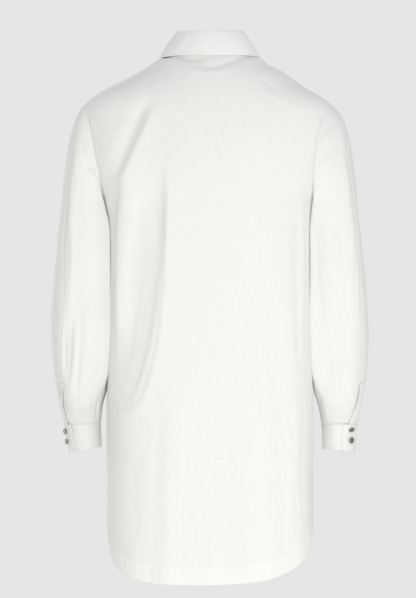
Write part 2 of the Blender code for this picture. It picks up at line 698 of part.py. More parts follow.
def collar_surface(turn, share):
    """The face of the turned-down part, from the fold's start on the stand to its lower edge."""
    foot, up, out = stand_frame(turn)
    base = foot - out * COLLAR_WALL + up * (stand_height(turn) + SEAM_GAP + COLLAR_SEAT)[..., None]
    radius = COLLAR_ROLL / 2
    roll = math.pi * np.clip(share / COLLAR_ROLL_SHARE, 0, 1)
    across, above = radius * (1 - np.cos(roll)), radius * np.sin(roll)
    over = base + out * across[..., None] + up * above[..., None]
    down = np.clip((share - COLLAR_ROLL_SHARE) / (1 - COLLAR_ROLL_SHARE), 0, 1)
    edge = collar_edge(turn)
    place = over + (edge - over) * down[..., None]
    return place + out * (COLLAR_BULGE * 4 * down * (1 - down))[..., None]


def collar_fall(material):
    end = math.radians(COLLAR_ROWS[0][0])
    turns = stand_turns()
    between = turns[(turns > end + 0.05) & (turns < math.pi - end - 0.05)]
    turns = np.concatenate([[end], between, [math.pi - end]])
    roll = np.linspace(0, COLLAR_ROLL_SHARE, ROLL_ROWS)
    down = np.linspace(COLLAR_ROLL_SHARE, 1, FALL_ROWS)[1:]
    turn, share = np.meshgrid(turns, np.concatenate([roll, down]))
    face = collar_surface(turn, share)
    step = 1e-4
    along = collar_surface(turn + step, share) - collar_surface(turn - step, share)
    low, high = np.minimum(share + step, 1), np.maximum(share - step, 0)
    down = collar_surface(turn, low) - collar_surface(turn, high)
    out = unit(np.cross(down, along))
    return wall("collar_fall", face, face - out * COLLAR_WALL, material)


# ---------------------------------------------------------------- the sleeves
def arm_ring(side, turn, height):
    """A point of the sleeve below the armhole."""
    size = SLEEVES[side]
    outer, inner = size["outer"](height), size["inner"](height)
    start, reach = SLEEVE_LEAVES
    nearer = SLEEVE_NEARER * soft((height - CUFF_TOP - start) / reach)
    back, front = size["back"](height), size["front"](height)
    c, s = np.cos(turn), np.sin(turn)
    flatter = soft(-1.5 * c) * soft((height - CUFF_TOP) / SLEEVE_FLATTENS)
    power = 2 / (SLEEVE_SQUARE + (SLEEVE_SQUARE_INSIDE - SLEEVE_SQUARE) * flatter)
    half = (outer - inner) / 2 + np.where(c < 0, nearer, 0)
    x = (outer + inner) / 2 + half * np.sign(c) * np.abs(c) ** power
    y = (back + front) / 2 + (back - front) / 2 * np.sign(s) * np.abs(s) ** power
    return points(SIGN[side] * x, y, height)


def sleeve_folds(side, turn, height):
    lift = np.zeros(np.broadcast(turn, height).shape)
    degrees = np.degrees(np.mod(turn + math.pi, 2 * math.pi) - math.pi)
    for fold in named(SLEEVE_FOLD_COLUMNS, SLEEVE_FOLD_ROWS):
        if fold["side"] != side:
            continue
        around, level = zip(*fold["path"])
        middle = curve(level, around)(height)
        length = level[0] - level[-1]
        ends = soft((level[0] - height) / (0.3 * length)) * soft((height - level[-1]) / (0.2 * length))
        lift = lift + fold["depth"] * hump((degrees - middle) / fold["width"]) * ends
    return lift


def sleeve_base(side, turn, share):
    """The sleeve's outside without folds: share 0 to 1 is the cap, 1 to 2 the arm to the cuff."""
    start = armhole_point(side, turn)
    out = body_normal(start)
    start = start + out * body_folds(start)[..., None]
    c, s = np.cos(turn), np.sin(turn)
    top_ring = arm_ring(side, turn, np.full(np.shape(turn), SLEEVE_TOP_RING))
    chord = np.linalg.norm(top_ring - start, axis=-1, keepdims=True)
    # Off the shoulder's tip the sleeve goes on down the shoulder's slope; at the underarm it
    # leaves level and turns straight down.
    under_less, under_down = CAP_UNDER
    outward = CAP_OUTWARD - CAP_OUTWARD_LESS * c - under_less * soft(-c)
    rise = -(CAP_DOWN + CAP_DOWN_MORE * c + under_down * soft(-c))
    leave = unit(points(SIGN[side] * outward, CAP_SIDEWAYS * s, rise))
    leave = leave * chord * ARMHOLES[side]["fullness"]
    arrive = points(SIGN[side] * CAP_ARRIVE_OUTWARD * (1 + c), 0, -1) * chord * CAP_ARRIVE_PULL
    t = np.clip(share, 0, 1)[..., None]
    cap = (
        start * (1 - 3 * t**2 + 2 * t**3)
        + leave * (t - 2 * t**2 + t**3)
        + top_ring * (3 * t**2 - 2 * t**3)
        + arrive * (t**3 - t**2)
    )
    height = SLEEVE_TOP_RING + (CUFF_TOP - SLEEVE_TOP_RING) * np.clip(share - 1, 0, 1)
    arm = arm_ring(side, turn, height)
    place = np.where(share[..., None] < 1, cap, arm)
    return clear_of_body(side, place, share, turn)


def clear_of_body(side, place, share, turn):
    """Moves the sleeve's inner side out, so that it hangs just clear of the body."""
    y, z = place[..., 1], place[..., 2]
    deep = np.where(y > 0, BODY["back"](z), BODY["front"](z))
    square = BODY["square"](z)
    inside = np.clip(1 - (np.abs(y) / deep) ** square, 0, 1) ** (1 / square)
    body_x = BODY["left" if side == "left" else "right"](z) * inside
    room = SLEEVE_CLEAR * soft(share * 2.0) + 0.0002
    least = body_x + room
    x = place[..., 0] * SIGN[side]
    push = np.maximum(least - x, 0) * soft(share * 6) * (np.cos(turn) < 0.35)
    return place + points(SIGN[side] * push, 0, 0)


def sleeve_cloth(side, turn, share):
    """The sleeve's outside with its folds, and which way is out."""
    step = 1e-3
    low, high = np.clip(share - step, 0, 2), np.clip(share + step, 0, 2)
    along = sleeve_base(side, turn, high) - sleeve_base(side, turn, low)
    around = sleeve_base(side, turn + step, share) - sleeve_base(side, turn - step, share)
    out = unit(np.cross(around, along)) * -SIGN[side]
    base = sleeve_base(side, turn, share)
    lift = sleeve_folds(side, turn, base[..., 2]) * soft((share - 0.9) * 4)
    return base + out * lift[..., None], out


def seam_turn(side, share):
    """The turn of the long seam behind the sleeve's outer side."""
    height = SLEEVE_TOP_RING + (CUFF_TOP - SLEEVE_TOP_RING) * np.clip(share - 1, 0, 1)
    low = np.radians(SLEEVES[side]["seam"](height))
    return np.where(share < 1, CAP_SEAM + (low - CAP_SEAM) * soft(share), low)


def sleeve_shares():
    cap = np.linspace(0, 1, CAP_ROWS + 1) ** 1.1
    arm = np.linspace(1, 2, ARM_ROWS + 1)
    return np.concatenate([cap, arm[1:]])


def sleeve_piece(side, part, material):
    """The back piece runs from the long seam round the back to the underarm, the front piece
    from the long seam round the front to the underarm."""
    shares = sleeve_shares()
    # The back piece has one column less than the armhole and the front piece one more, because
    # the long seam starts one step behind the shoulder's tip.
    columns, end = (ARMHOLE_STEPS, math.pi) if part == "back" else (ARMHOLE_STEPS + 2, -math.pi)
    places = np.linspace(0, 1, columns)
    start = seam_turn(side, shares)
    turn = start[:, None] + (end - start[:, None]) * places[None, :]
    share = np.broadcast_to(shares[:, None], turn.shape)
    face, out = sleeve_cloth(side, turn, share)
    gaps = (("first_column", SEAM_GAP / 2), ("last_column", SEAM_GAP / 2), ("first", SEAM_GAP * 1.2))
    return wall(f"sleeve_{side}_{part}", face, face - out * WALL, material, gaps)


def strip(side, material):
    """The narrow strip that covers the vent, from the long seam towards the back."""
    heights = np.linspace(STRIP_TOP, CUFF_TOP + SEAM_GAP, STRIP_ROWS)
    shares = 1 + (heights - SLEEVE_TOP_RING) / (CUFF_TOP - SLEEVE_TOP_RING)
    seam = seam_turn(side, shares)
    around = arm_ring(side, seam + 0.01, heights) - arm_ring(side, seam - 0.01, heights)
    turn_for = 0.02 / np.linalg.norm(around, axis=-1)
    start = seam - STRIP_BEHIND_SEAM * turn_for
    turn = start[:, None] + (STRIP_WIDTH * turn_for)[:, None] * np.linspace(0, 1, STRIP_COLUMNS)
    share = np.broadcast_to(shares[:, None], turn.shape)
    face, out = sleeve_cloth(side, turn, share)
    inside = face + out * LAP_GAP
    return wall("sleeve_placket_" + side, inside + out * STRIP_WALL, inside, material)


# ---------------------------------------------------------------- the cuffs
def cuff_surface(side, turn, drop):
    """The cuff's outside: turn runs on past a whole turn where its outer end laps over."""
    cuff = CUFFS[side]
    share = drop / CUFF_HEIGHT
    middle = cuff["top_x"] + (cuff["end_x"] - cuff["top_x"]) * share
    half = cuff["top_half"] + (cuff["end_half"] - cuff["top_half"]) * share
    lap_start = math.radians(cuff["edge"]) + 2 * math.pi - CUFF_LAP
    step = CUFF_STEP * soft((turn - lap_start + CUFF_STEP_TURN) / CUFF_STEP_TURN)
    x = middle + SIGN[side] * (half + step) * np.cos(turn)
    y = cuff["middle_y"] + (cuff["depth"] - CUFF_TAPER * share + step) * np.sin(turn)
    z = CUFF_TOP - SEAM_GAP - drop - 0.5 * cuff["fall"] * share * np.cos(turn)
    return points(x, y, z)


def cuff_out(side, turn, drop):
    step = 1e-3
    around = cuff_surface(side, turn + step, drop) - cuff_surface(side, turn - step, drop)
    down = cuff_surface(side, turn, drop + step) - cuff_surface(side, turn, drop - step)
    return unit(np.cross(around, down)) * -SIGN[side]


def cuff(side, material):
    edge = math.radians(CUFFS[side]["edge"])
    turns = np.linspace(edge - CUFF_LAP, edge + 2 * math.pi, CUFF_COLUMNS_ROUND)
    turn, drop = np.meshgrid(turns, np.linspace(0, CUFF_HEIGHT, CUFF_ROWS_DOWN))
    face = cuff_surface(side, turn, drop)
    return wall("cuff_" + side, face, face - cuff_out(side, turn, drop) * CUFF_WALL, material)


# ---------------------------------------------------------------- buttons
def button_mesh():
    """A domed metal button with a raised rim, on a short stem."""
    rim, top = BUTTON_RADIUS, BUTTON_HEIGHT
    profile = (
        (0.0, top - 0.0004),
        (rim * 0.70, top - 0.0006),
        (rim * 0.86, top),
        (rim, top - 0.0006),
        (rim * 0.92, top - 0.0018),
        (BUTTON_STEM, top - 0.0020),
        (BUTTON_STEM, 0.0),
        (0.0, 0.0),
    )
    turned = bmesh.new()
    line = [turned.verts.new((r, 0, h)) for r, h in profile]
    edges = [turned.edges.new(pair) for pair in zip(line[:-1], line[1:])]
    turned_about = {"cent": (0, 0, 0), "axis": (0, 0, 1), "angle": 2 * math.pi}
    bmesh.ops.spin(turned, geom=line + edges, steps=BUTTON_SIDES, use_merge=True, **turned_about)
    bmesh.ops.remove_doubles(turned, verts=turned.verts, dist=1e-6)
    bmesh.ops.recalc_face_normals(turned, faces=turned.faces)
    mesh = bpy.data.meshes.new("button")
    turned.to_mesh(mesh)
    turned.free()
    mesh.shade_smooth()
    mesh.set_sharp_from_angle(angle=math.radians(35))
    return mesh


def button(name, mesh, material, place, out):
    out = Vector(out)
    facing = out.to_track_quat("Z", "Y").to_matrix().to_4x4()
    piece = add(name, mesh, material)
    piece.matrix_world = Matrix.Translation(Vector(place) + out * LAP_GAP) @ facing


def buttons(material):
    mesh = button_mesh()
    for side in ("left", "right"):
        turn = math.radians(CUFFS[side]["edge"]) + 2 * math.pi - CUFF_BUTTON_BACK
        for number, drop in enumerate(CUFF_BUTTON_DROPS, 1):
            at = np.array(turn), np.array(drop)
            place, out = cuff_surface(side, *at), cuff_out(side, *at)
            button(f"button_cuff_{side}_{number}", mesh, material, place, out)
    ends = np.array([neck_turn_at(-PLACKET_HALF), neck_turn_at(PLACKET_HALF)])
    foot, up, out = (side.mean(axis=0) for side in stand_frame(ends))
    button("button_collar", mesh, material, foot + up * STAND_FRONT_HEIGHT * 0.5, unit(out))
    face, out = band_face()
    line, out = face.mean(axis=1)[::-1], out.mean(axis=1)[::-1]
    for number in range(FRONT_BUTTONS):
        height = FRONT_BUTTON_TOP - number * FRONT_BUTTON_STEP
        place = [np.interp(height, line[:, 2], line[:, axis]) for axis in range(3)]
        facing = [np.interp(height, line[:, 2], out[:, axis]) for axis in range(3)]
        button(f"button_front_{number + 1}", mesh, material, place, unit(np.array(facing)))


# ---------------------------------------------------------------- the blouse
def clear_scene():
    for item in list(bpy.data.objects):
        bpy.data.objects.remove(item, do_unlink=True)


def main():
    clear_scene()
    blouse = bpy.data.objects.new("blouse", None)
    bpy.context.scene.collection.objects.link(blouse)
    poplin = finish("poplin", (0.90, 0.90, 0.89), 0.85)
    crisp = finish("interlined_poplin", (0.91, 0.91, 0.90), 0.80)
    metal = finish("button_metal", (0.42, 0.41, 0.39), 0.30, 1.0)
    back_panel(poplin)
    front_panel("left", UNDERLAP_END, poplin, sink=underlap)
    front_panel("right", -PLACKET_HALF, poplin)
    front_band(crisp)
    collar_stand(crisp)
    collar_fall(crisp)
    for side in ("left", "right"):
        sleeve_piece(side, "front", poplin)
        sleeve_piece(side, "back", poplin)
        strip(side, crisp)
        cuff(side, crisp)
    buttons(metal)


main()
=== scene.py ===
# Dresses the blouse: fine cloth on the form of its solids, with creases, stitches, buttons and light.
import math
import bpy
import numpy as np
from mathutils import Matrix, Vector


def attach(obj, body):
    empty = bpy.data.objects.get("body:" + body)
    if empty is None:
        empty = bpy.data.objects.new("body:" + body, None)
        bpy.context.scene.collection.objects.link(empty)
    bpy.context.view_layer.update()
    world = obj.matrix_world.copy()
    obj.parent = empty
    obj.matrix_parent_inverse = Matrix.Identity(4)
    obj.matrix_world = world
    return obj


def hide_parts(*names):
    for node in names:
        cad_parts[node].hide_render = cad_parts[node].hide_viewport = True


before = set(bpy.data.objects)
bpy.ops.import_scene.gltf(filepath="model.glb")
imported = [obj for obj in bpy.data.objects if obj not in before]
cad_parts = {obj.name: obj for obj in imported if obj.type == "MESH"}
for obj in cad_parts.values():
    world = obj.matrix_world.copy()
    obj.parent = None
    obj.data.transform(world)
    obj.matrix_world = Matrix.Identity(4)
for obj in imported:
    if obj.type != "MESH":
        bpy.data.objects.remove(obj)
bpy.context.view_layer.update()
uneven = np.random.default_rng(11)  # fixed, so that each run gives the same blouse
mm = 0.001
sign = {"left": 1.0, "right": -1.0}


# Curves through short tables.
def curve(at, values):
    order = np.argsort(at)
    at, values = np.array(at, float)[order], np.array(values, float)[order]
    step = np.diff(at)
    rise = np.diff(values) / step
    slope = np.concatenate([rise[:1], np.zeros(len(rise) - 1), rise[-1:]])
    together = np.where(rise[1:] * rise[:-1] > 0)[0]
    pair = rise[1:][together] + rise[:-1][together]
    slope[together + 1] = 2 * rise[1:][together] * rise[:-1][together] / pair

    def value(x):
        x = np.clip(x, at[0], at[-1])
        i = np.clip(np.searchsorted(at, x, side="right") - 1, 0, len(step) - 1)
        t = (x - at[i]) / step[i]
        a, b = slope[i] * step[i], slope[i + 1] * step[i]
        up = values[i + 1] - values[i]
        return values[i] + t * (a + t * (3 * up - 2 * a - b + t * (a + b - 2 * up)))

    return value


def curves(table, plain):  # lengths are in millimetres, and plain columns are angles or exponents
    columns = dict(zip(table["names"], np.array(table["rows"], float).T))
    columns = {name: values if name in plain else values * mm for name, values in columns.items()}
    at = columns.pop(table["names"][0])
    return {name: curve(at, values) for name, values in columns.items()}


def soft(x):
    x = np.clip(x, 0, 1)
    return x * x * (3 - 2 * x)


def hump(x):
    return np.clip(1 - x * x, 0, 1) ** 2


def unit(v):
    return v / np.maximum(np.linalg.norm(v, axis=-1, keepdims=True), 1e-12)


def points(x, y, z):
    return np.stack(np.broadcast_arrays(x, y, z), axis=-1).astype(float)


def lengthAlong(line):
    return np.concatenate([[0], np.cumsum(np.linalg.norm(np.diff(line, axis=0), axis=1))])


def signed(v, power):
    return np.sign(v) * np.abs(v) ** power


def placesAt(at, run, places):
    return np.stack([np.interp(at, run, places[:, k]) for k in range(3)], axis=-1)


# The body's tube: half widths and depths of its rings in millimetres, as the solids have them.
body = {
    "thick": 0.8 * mm,
    "lowest": -0.250,  # heights between which the shoulders' top side lies
    "highest": 0.029,
    "columns": 196,
    "frontColumns": 72,
    "fineFrom": 0.76,  # share of the left front past which its columns are finer
    "shoulderRows": 28,
    "armholeRows": 40,
    "neckSteps": 20,
    "skirtRows": 92,
    "names": ("height", "left", "right", "back", "front", "square"),
    "rows": (
        (30, 36, 36, 30, 6, 2.00),
        (12, 61, 61, 50, 13, 2.00),
        (0, 84, 86, 63, 21, 2.05),
        (-12, 102, 100, 73, 28, 2.05),
        (-24, 120, 124, 82, 35, 2.10),
        (-35, 139.5, 139.5, 89, 41, 2.15),
        (-49, 167.5, 159, 96, 48, 2.20),
        (-63, 193.5, 183.5, 102, 56, 2.25),
        (-77, 210.5, 203.5, 107, 66, 2.28),
        (-92, 219, 215.5, 111.5, 78, 2.30),
        (-109, 222, 220, 115.8, 90, 2.30),
        (-128, 223.5, 222, 120, 101, 2.30),
        (-155, 219.5, 218.5, 125, 113, 2.34),
        (-185, 209, 208, 129, 123, 2.42),
        (-220, 193.5, 193, 131.5, 130, 2.52),
        (-250, 183, 183, 132, 132, 2.58),
        (-275, 178.5, 179, 131.7, 132, 2.62),
        (-310, 176.2, 177.2, 130.8, 131, 2.70),
        (-400, 175.2, 176.2, 128, 127, 2.80),
        (-500, 175.2, 175.6, 126, 125, 2.85),
        (-600, 175.5, 175.2, 126, 125, 2.88),
        (-700, 175.5, 175, 127, 125, 2.88),
        (-800, 174.5, 175, 128, 125, 2.85),
        (-900, 173.5, 174.5, 128, 124, 2.80),
    ),
}
bodyCurve = curves(body, plain=("square",))


def sizes(x, y, height):  # half width, depth and squareness, on the side where x and y are
    half = np.where(x > 0, bodyCurve["left"](height), bodyCurve["right"](height))
    deep = np.where(y > 0, bodyCurve["back"](height), bodyCurve["front"](height))
    return half, deep, bodyCurve["square"](height)


def sizesAt(p):
    return sizes(p[..., 0], p[..., 1], p[..., 2])


def beyond(p):
    half, deep, square = sizesAt(p)
    return (np.abs(p[..., 0]) / half) ** square + (np.abs(p[..., 1]) / deep) ** square - 1


def bodyOut(p, step=0.0002):
    across = [(beyond(p + d) - beyond(p - d)) for d in step * np.eye(3)]
    return unit(np.stack(across, axis=-1))


def ring(turn, height):
    c, s = np.cos(turn), np.sin(turn)
    half, deep, square = sizes(c, s, height)
    return points(half * signed(c, 2 / square), deep * signed(s, 2 / square), height)


def turnOf(p):
    half, deep, square = sizesAt(p)
    return np.arctan2(signed(p[..., 1] / deep, square / 2), signed(p[..., 0] / half, square / 2))


def heightOf(x, y):
    x, y = np.broadcast_arrays(np.asarray(x, float), np.asarray(y, float))
    low, high = np.full(x.shape, body["lowest"]), np.full(x.shape, body["highest"])
    for _ in range(40):
        middle = (low + high) / 2
        out = beyond(points(x, y, middle)) > 0
        high, low = np.where(out, middle, high), np.where(out, low, middle)
    return (low + high) / 2


def depthAt(x, height, face="front"):
    half, deep, square = sizes(np.asarray(x), 1 if face == "back" else -1, height)
    return deep * np.clip(1 - (np.abs(x) / half) ** square, 0, 1) ** (1 / square)


# The largest folds, as in the solids, in millimetres: four places (across, height), depth, width to
# each side. One that ends below reachHem runs out over the hem.
bigFolds = {
    "reachHem": -850 * mm,
    "begin": 0.42,  # share of the depth, from the side seam, where they begin
    "beginOver": 0.3,
    "fade": 0.25,  # share of the length at each end
    "rows": (
        ("back", ((104, -63), (126, -122), (147, -173), (162, -216)), -5, 30, 20),
        ("back", ((92, -71), (116, -131), (135, -173), (158, -236)), 4, 18, 28),
        ("back", ((132, -190), (147, -275), (156, -360), (163, -501)), 5, 26, 24),
        ("back", ((96, -160), (111, -320), (131, -450), (157, -600)), -8.5, 36, 31),
        ("back", ((-110, -420), (-120, -560), (-128, -720), (-130, -880)), -4, 28, 30),
        ("back", ((60, -560), (64, -680), (70, -800), (74, -900)), 4, 30, 26),
        ("back", ((-20, -600), (-26, -700), (-30, -800), (-34, -900)), -3, 34, 34),
        ("front", ((118, -240), (112, -380), (100, -560), (94, -740)), -6, 26, 36),
        ("front", ((70, -300), (64, -480), (60, -680), (60, -860)), 4.5, 30, 26),
        ("front", ((-112, -235), (-104, -400), (-96, -590), (-86, -780)), -6, 36, 26),
        ("front", ((-66, -330), (-60, -500), (-58, -700), (-60, -860)), 4.5, 26, 30),
        ("front", ((130, -110), (120, -150), (112, -190), (104, -240)), 3.5, 24, 24),
        ("front", ((-128, -112), (-118, -150), (-110, -195), (-104, -245)), 3.5, 24, 24),
    ),
}


def bigFoldLift(p):
    x, y, z = p[..., 0], p[..., 1], p[..., 2]
    lift = np.zeros(x.shape)
    for face, path, depth, leftWidth, rightWidth in bigFolds["rows"]:
        across, height = np.array(path).T * mm
        middle = curve(height, across)(z)
        length = height[0] - height[-1]
        ends = soft((height[0] - z) / (bigFolds["fade"] * length))
        if height[-1] > bigFolds["reachHem"]:
            ends = ends * soft((z - height[-1]) / (bigFolds["fade"] * length))
        width = np.where(x > middle, leftWidth, rightWidth) * mm
        facing = (y > 0) if face == "back" else (y < 0)
        lift += depth * mm * hump((x - middle) / width) * ends * facing
    return lift * soft((np.abs(y) / sizesAt(p)[1] - bigFolds["begin"]) / bigFolds["beginOver"])


# Creases: each runs along a path on the cloth and lifts it by depth (below zero it sinks), falling off
# over its widths to the left and right of the way it runs, all in millimetres. A crisp one has a sharp
# crest.
def smoothPath(places, count=28):
    places = np.array(places, float)
    if len(places) == 2:
        return places[0] + (places[1] - places[0]) * np.linspace(0, 1, count)[:, None]
    at = lengthAlong(places)
    fine = np.linspace(0, at[-1], count)
    return np.stack([curve(at, places[:, k])(fine) for k in range(places.shape[1])], axis=-1)


creaseFade = 0.3  # share of its length over which a crease comes and goes


def creaseLift(places, outs, line, depth, left, right, crisp):
    depth, left, right = depth * mm, left * mm, right * mm
    lift = np.zeros(places.shape[:-1])
    flat, out = places.reshape(-1, 3), outs.reshape(-1, 3)
    reach = max(left, right)
    near = np.all((flat > line.min(0) - reach) & (flat < line.max(0) + reach), axis=1)
    if not near.any():
        return lift
    p, n = flat[near], out[near]
    best = np.full(len(p), np.inf)
    side, along = np.zeros(len(p)), np.zeros(len(p))
    run = lengthAlong(line)
    for k in range(len(line) - 1):
        step = line[k + 1] - line[k]
        t = np.clip(((p - line[k]) @ step) / (step @ step), 0, 1)
        away = p - (line[k] + t[:, None] * step)
        distance = np.linalg.norm(away, axis=1)
        closer = distance < best
        best = np.where(closer, distance, best)
        sideNow = np.einsum("ij,ij->i", np.cross(n, np.broadcast_to(step, n.shape)), away)
        side = np.where(closer, sideNow, side)
        along = np.where(closer, (run[k] + t * (run[k + 1] - run[k])) / run[-1], along)
    t = best / np.where(side > 0, left, right)
    shape = (1 - crisp) * hump(t) + crisp * np.clip(1 - t, 0, 1) ** 1.6
    ends = soft(along / creaseFade) * soft((1 - along) / creaseFade)
    lift.reshape(-1)[near] = depth * shape * ends
    return lift


def wander(p, size, seed, octaves=2):  # a smooth uneven field from -1 to 1
    maker = np.random.default_rng(seed)
    total, weight = np.zeros(p.shape[:-1]), 0.0
    for octave in range(octaves):
        scale = 2 * math.pi / (size / 1.9**octave)
        for _ in range(5):
            way = unit(maker.normal(size=3)) * scale * maker.uniform(0.6, 1.3)
            total += np.sin(p @ way + maker.uniform(0, 6.28)) / 1.7**octave
        weight += 2.2 / 1.7**octave
    return total / weight


# The armholes, the neck seam and the hem. The hem's height is in millimetres for each turn in degrees.
cut = {
    "armholes": {
        "left": {"top": -0.077, "bottom": -0.262, "back": 0.068, "front": 0.058, "square": 0.85,
                 "full": 0.55},
        "right": {"top": -0.079, "bottom": -0.262, "back": 0.083, "front": 0.058, "square": 0.62,
                  "full": 0.70},
    },
    "neckHalf": 0.058,
    "neckBack": 0.050,
    "neckFront": 0.052,
    "neckFrontSquare": 2.5,
    "seamGap": 0.0003,
    "plackHalf": 0.0150,
    "underlapDeep": 0.0037,  # cloth and air under the band
    "underlapEnd": -0.0120,
    "underlapFull": 0.0172,
    "underlapStart": 0.0255,
}
hemTable = {
    "names": ("turn", "backLeft", "backRight", "front"),
    "rows": (
        (0, -792, -788, -790),
        (5, -804, -798, -797),
        (11, -825, -815, -808),
        (17, -842, -829, -820),
        (25, -858, -845, -832),
        (36, -872, -861, -845),
        (52, -884, -876, -856),
        (70, -891, -887, -862),
        (90, -892.5, -892.5, -864),
    ),
}
hemCurve = curves(hemTable, plain=("turn",))


def hemHeight(turn):
    fromSide = np.degrees(np.arcsin(np.abs(np.sin(turn))))
    back = np.where(np.cos(turn) > 0, hemCurve["backLeft"](fromSide), hemCurve["backRight"](fromSide))
    return np.where(np.sin(turn) > 0, back, hemCurve["front"](fromSide))


def evenShares(count, start, end, height=-0.400):
    fine = np.linspace(0, 1, 401)
    path = ring(start + (end - start) * fine, np.full(401, height))
    run = lengthAlong(path)
    return np.interp(np.linspace(0, run[-1], count + 1), run, fine)


def armholePoint(side, turn):
    hole = cut["armholes"][side]
    middle, half = (hole["top"] + hole["bottom"]) / 2, (hole["top"] - hole["bottom"]) / 2
    height = middle + half * np.cos(turn)
    s = np.sin(turn)
    s = np.where(np.abs(s) < 1e-9, 0, s)
    reach = np.where(s > 0, hole["back"] * np.abs(s) ** hole["square"], -hole["front"] * np.abs(s))
    half, deep, square = sizes(sign[side], reach, height)
    x = half * (1 - (np.abs(reach) / deep) ** square) ** (1 / square)
    return points(sign[side] * x, reach, height)


def armholePlace(side, turn):
    p = armholePoint(side, turn)
    around = turnOf(p)
    if side == "right":
        around = np.where(around < -1e-9, around + 2 * math.pi, np.where(around < 1e-9, math.pi, around))
    return np.stack([around, p[..., 2]], axis=-1)


def neckPoint(turn):
    c, s = np.cos(turn), np.sin(turn)
    power = np.where(s > 0, 1.0, 2 / cut["neckFrontSquare"])
    x = cut["neckHalf"] * signed(c, power)
    y = np.where(s > 0, cut["neckBack"], cut["neckFront"]) * signed(s, power)
    return points(x, y, heightOf(x, y))


def neckTurnAt(x):
    share = (abs(x) / cut["neckHalf"]) ** (cut["neckFrontSquare"] / 2)
    return -math.acos(math.copysign(share, x))


def neckPlace(turn):
    p = neckPoint(turn)
    return np.stack([turnOf(p), p[..., 2]], axis=-1)


def underlap(x):
    start, full = cut["underlapStart"], cut["underlapFull"]
    return cut["underlapDeep"] * soft((start - x) / (start - full))


# Creases of the body: path (across, height), depth, left and right width, crispness.
bodyCreases = {
    "back": (
        (((85, 2), (68, 3), (51, 0), (34, -5), (12, -2.5), (-4, 2)), -4.6, 6, 6, 0.4),
        (((30, -15), (9, -17), (-9, -15), (-31, -8), (-53, 0), (-78, 4)), -4.5, 7, 9, 0.4),
        (((40, -12), (15, -24), (-12, -25), (-36, -18)), 1.6, 8, 12, 0.2),
        (((90, -71), (104, -109), (121, -145), (139, -182), (155, -224)), 1.5, 9, 13, 0.5),
        (((108, -60), (121, -98), (138, -133), (152, -170)), -1.2, 12, 9, 0.2),
        (((120, -75), (134, -100), (147, -126)), 0.9, 10, 10, 0.1),
        (((71, -160), (73, -275), (75, -377), (80, -428), (85, -479), (97, -530), (114, -581),
          (139, -602), (168, -604)), 2.6, 26, 8, 0.5),
        (((83, -150), (83, -233), (87, -326), (94, -377), (100, -428), (109, -479), (121, -530),
          (141, -577), (170, -587)), -5, 13, 24, 0.3),
        (((113, -160), (124, -220), (136, -300), (148, -390)), 1, 12, 9, 0.2),
        (((138, -160), (146, -230), (150, -320), (152, -420), (160, -540)), 5, 28, 14, 0.1),
        (((-154, -200), (-156, -280), (-158, -360), (-157, -480)), 2, 8, 13, 0.1),
        (((100, -560), (120, -588), (148, -604), (166, -598)), 1.1, 10, 7, 0.3),
        (((166, -560), (150, -578), (134, -590)), -1.3, 8, 8, 0.3),
        (((-71, -41), (-97, -61), (-124, -76), (-148, -85), (-172, -88)), 1.1, 6, 5, 0.3),
        (((-78, -30), (-105, -49), (-135, -62)), -0.9, 8, 8, 0),
        (((74, -36), (100, -52), (128, -64)), 0.7, 6, 6, 0.2),
        (((103, -640), (107, -720), (111, -835)), 0.6, 18, 15, 0.1),
        (((88, -600), (86, -690), (82, -790)), -0.5, 15, 14, 0.1),
        (((46, -600), (51, -690), (54, -760)), 0.8, 9, 9, 0),
        (((75, -745), (71, -800), (69, -868)), 0.6, 12, 11, 0.1),
        (((128, -660), (131, -740), (130, -815)), -0.9, 16, 14, 0.1),
        (((-44, -130), (-41, -200), (-40, -270)), 0.7, 13, 13, 0),
        (((-12, -120), (-10, -180), (-12, -240)), -0.6, 12, 12, 0),
        (((-88, -160), (-82, -230), (-80, -330)), 0.7, 14, 12, 0),
        (((30, -330), (26, -420), (28, -520)), -0.6, 14, 14, 0),
        (((-150, -240), (-146, -330), (-148, -440), (-152, -560)), -1.6, 10, 12, 0.1),
        (((-158, -590), (-156, -700), (-160, -800)), -1.5, 11, 9, 0.1),
        (((-136, -640), (-138, -740), (-142, -830)), 1, 12, 10, 0.1),
        (((-70, -590), (-74, -690), (-80, -850)), 0.8, 12, 12, 0),
        (((-172, -232), (-160, -250), (-146, -262)), 1, 5, 7, 0.3),
    ),
    "front": (
        (((150, -235), (118, -240), (84, -250)), 1.8, 10, 13, 0.3),
        (((152, -262), (124, -290), (98, -330), (86, -380)), -1.6, 9, 12, 0.3),
        (((-150, -230), (-120, -238), (-90, -256)), 1.7, 12, 10, 0.3),
        (((-154, -256), (-128, -280), (-104, -325), (-90, -400)), -1.5, 12, 9, 0.3),
        (((72, -70), (94, -100), (114, -140)), 1.2, 10, 10, 0.2),
        (((-70, -68), (-90, -104), (-110, -150)), 1.1, 10, 10, 0.2),
        (((40, -150), (46, -230), (44, -320)), -1, 12, 12, 0),
        (((-44, -140), (-48, -220), (-50, -330)), -0.9, 12, 12, 0),
        (((130, -400), (126, -520), (130, -680), (136, -800)), 1.6, 13, 11, 0.2),
        (((-132, -380), (-126, -500), (-130, -640), (-140, -790)), 1.5, 11, 13, 0.2),
        (((36, -420), (38, -560), (34, -700), (36, -850)), -1.2, 12, 10, 0.1),
        (((-36, -400), (-34, -540), (-38, -690), (-36, -850)), -1.1, 10, 12, 0.1),
        (((98, -600), (108, -700), (112, -830)), -1.2, 12, 12, 0.1),
        (((-90, -620), (-100, -720), (-106, -830)), -1.2, 12, 12, 0.1),
        (((150, -560), (130, -575), (104, -570)), 1.1, 8, 9, 0.2),
        (((-152, -545), (-134, -562), (-110, -560)), 1, 8, 9, 0.2),
    ),
}


def onBody(face, across, height):
    depth = depthAt(across, height, face)
    return points(across, depth if face == "back" else -depth, height)


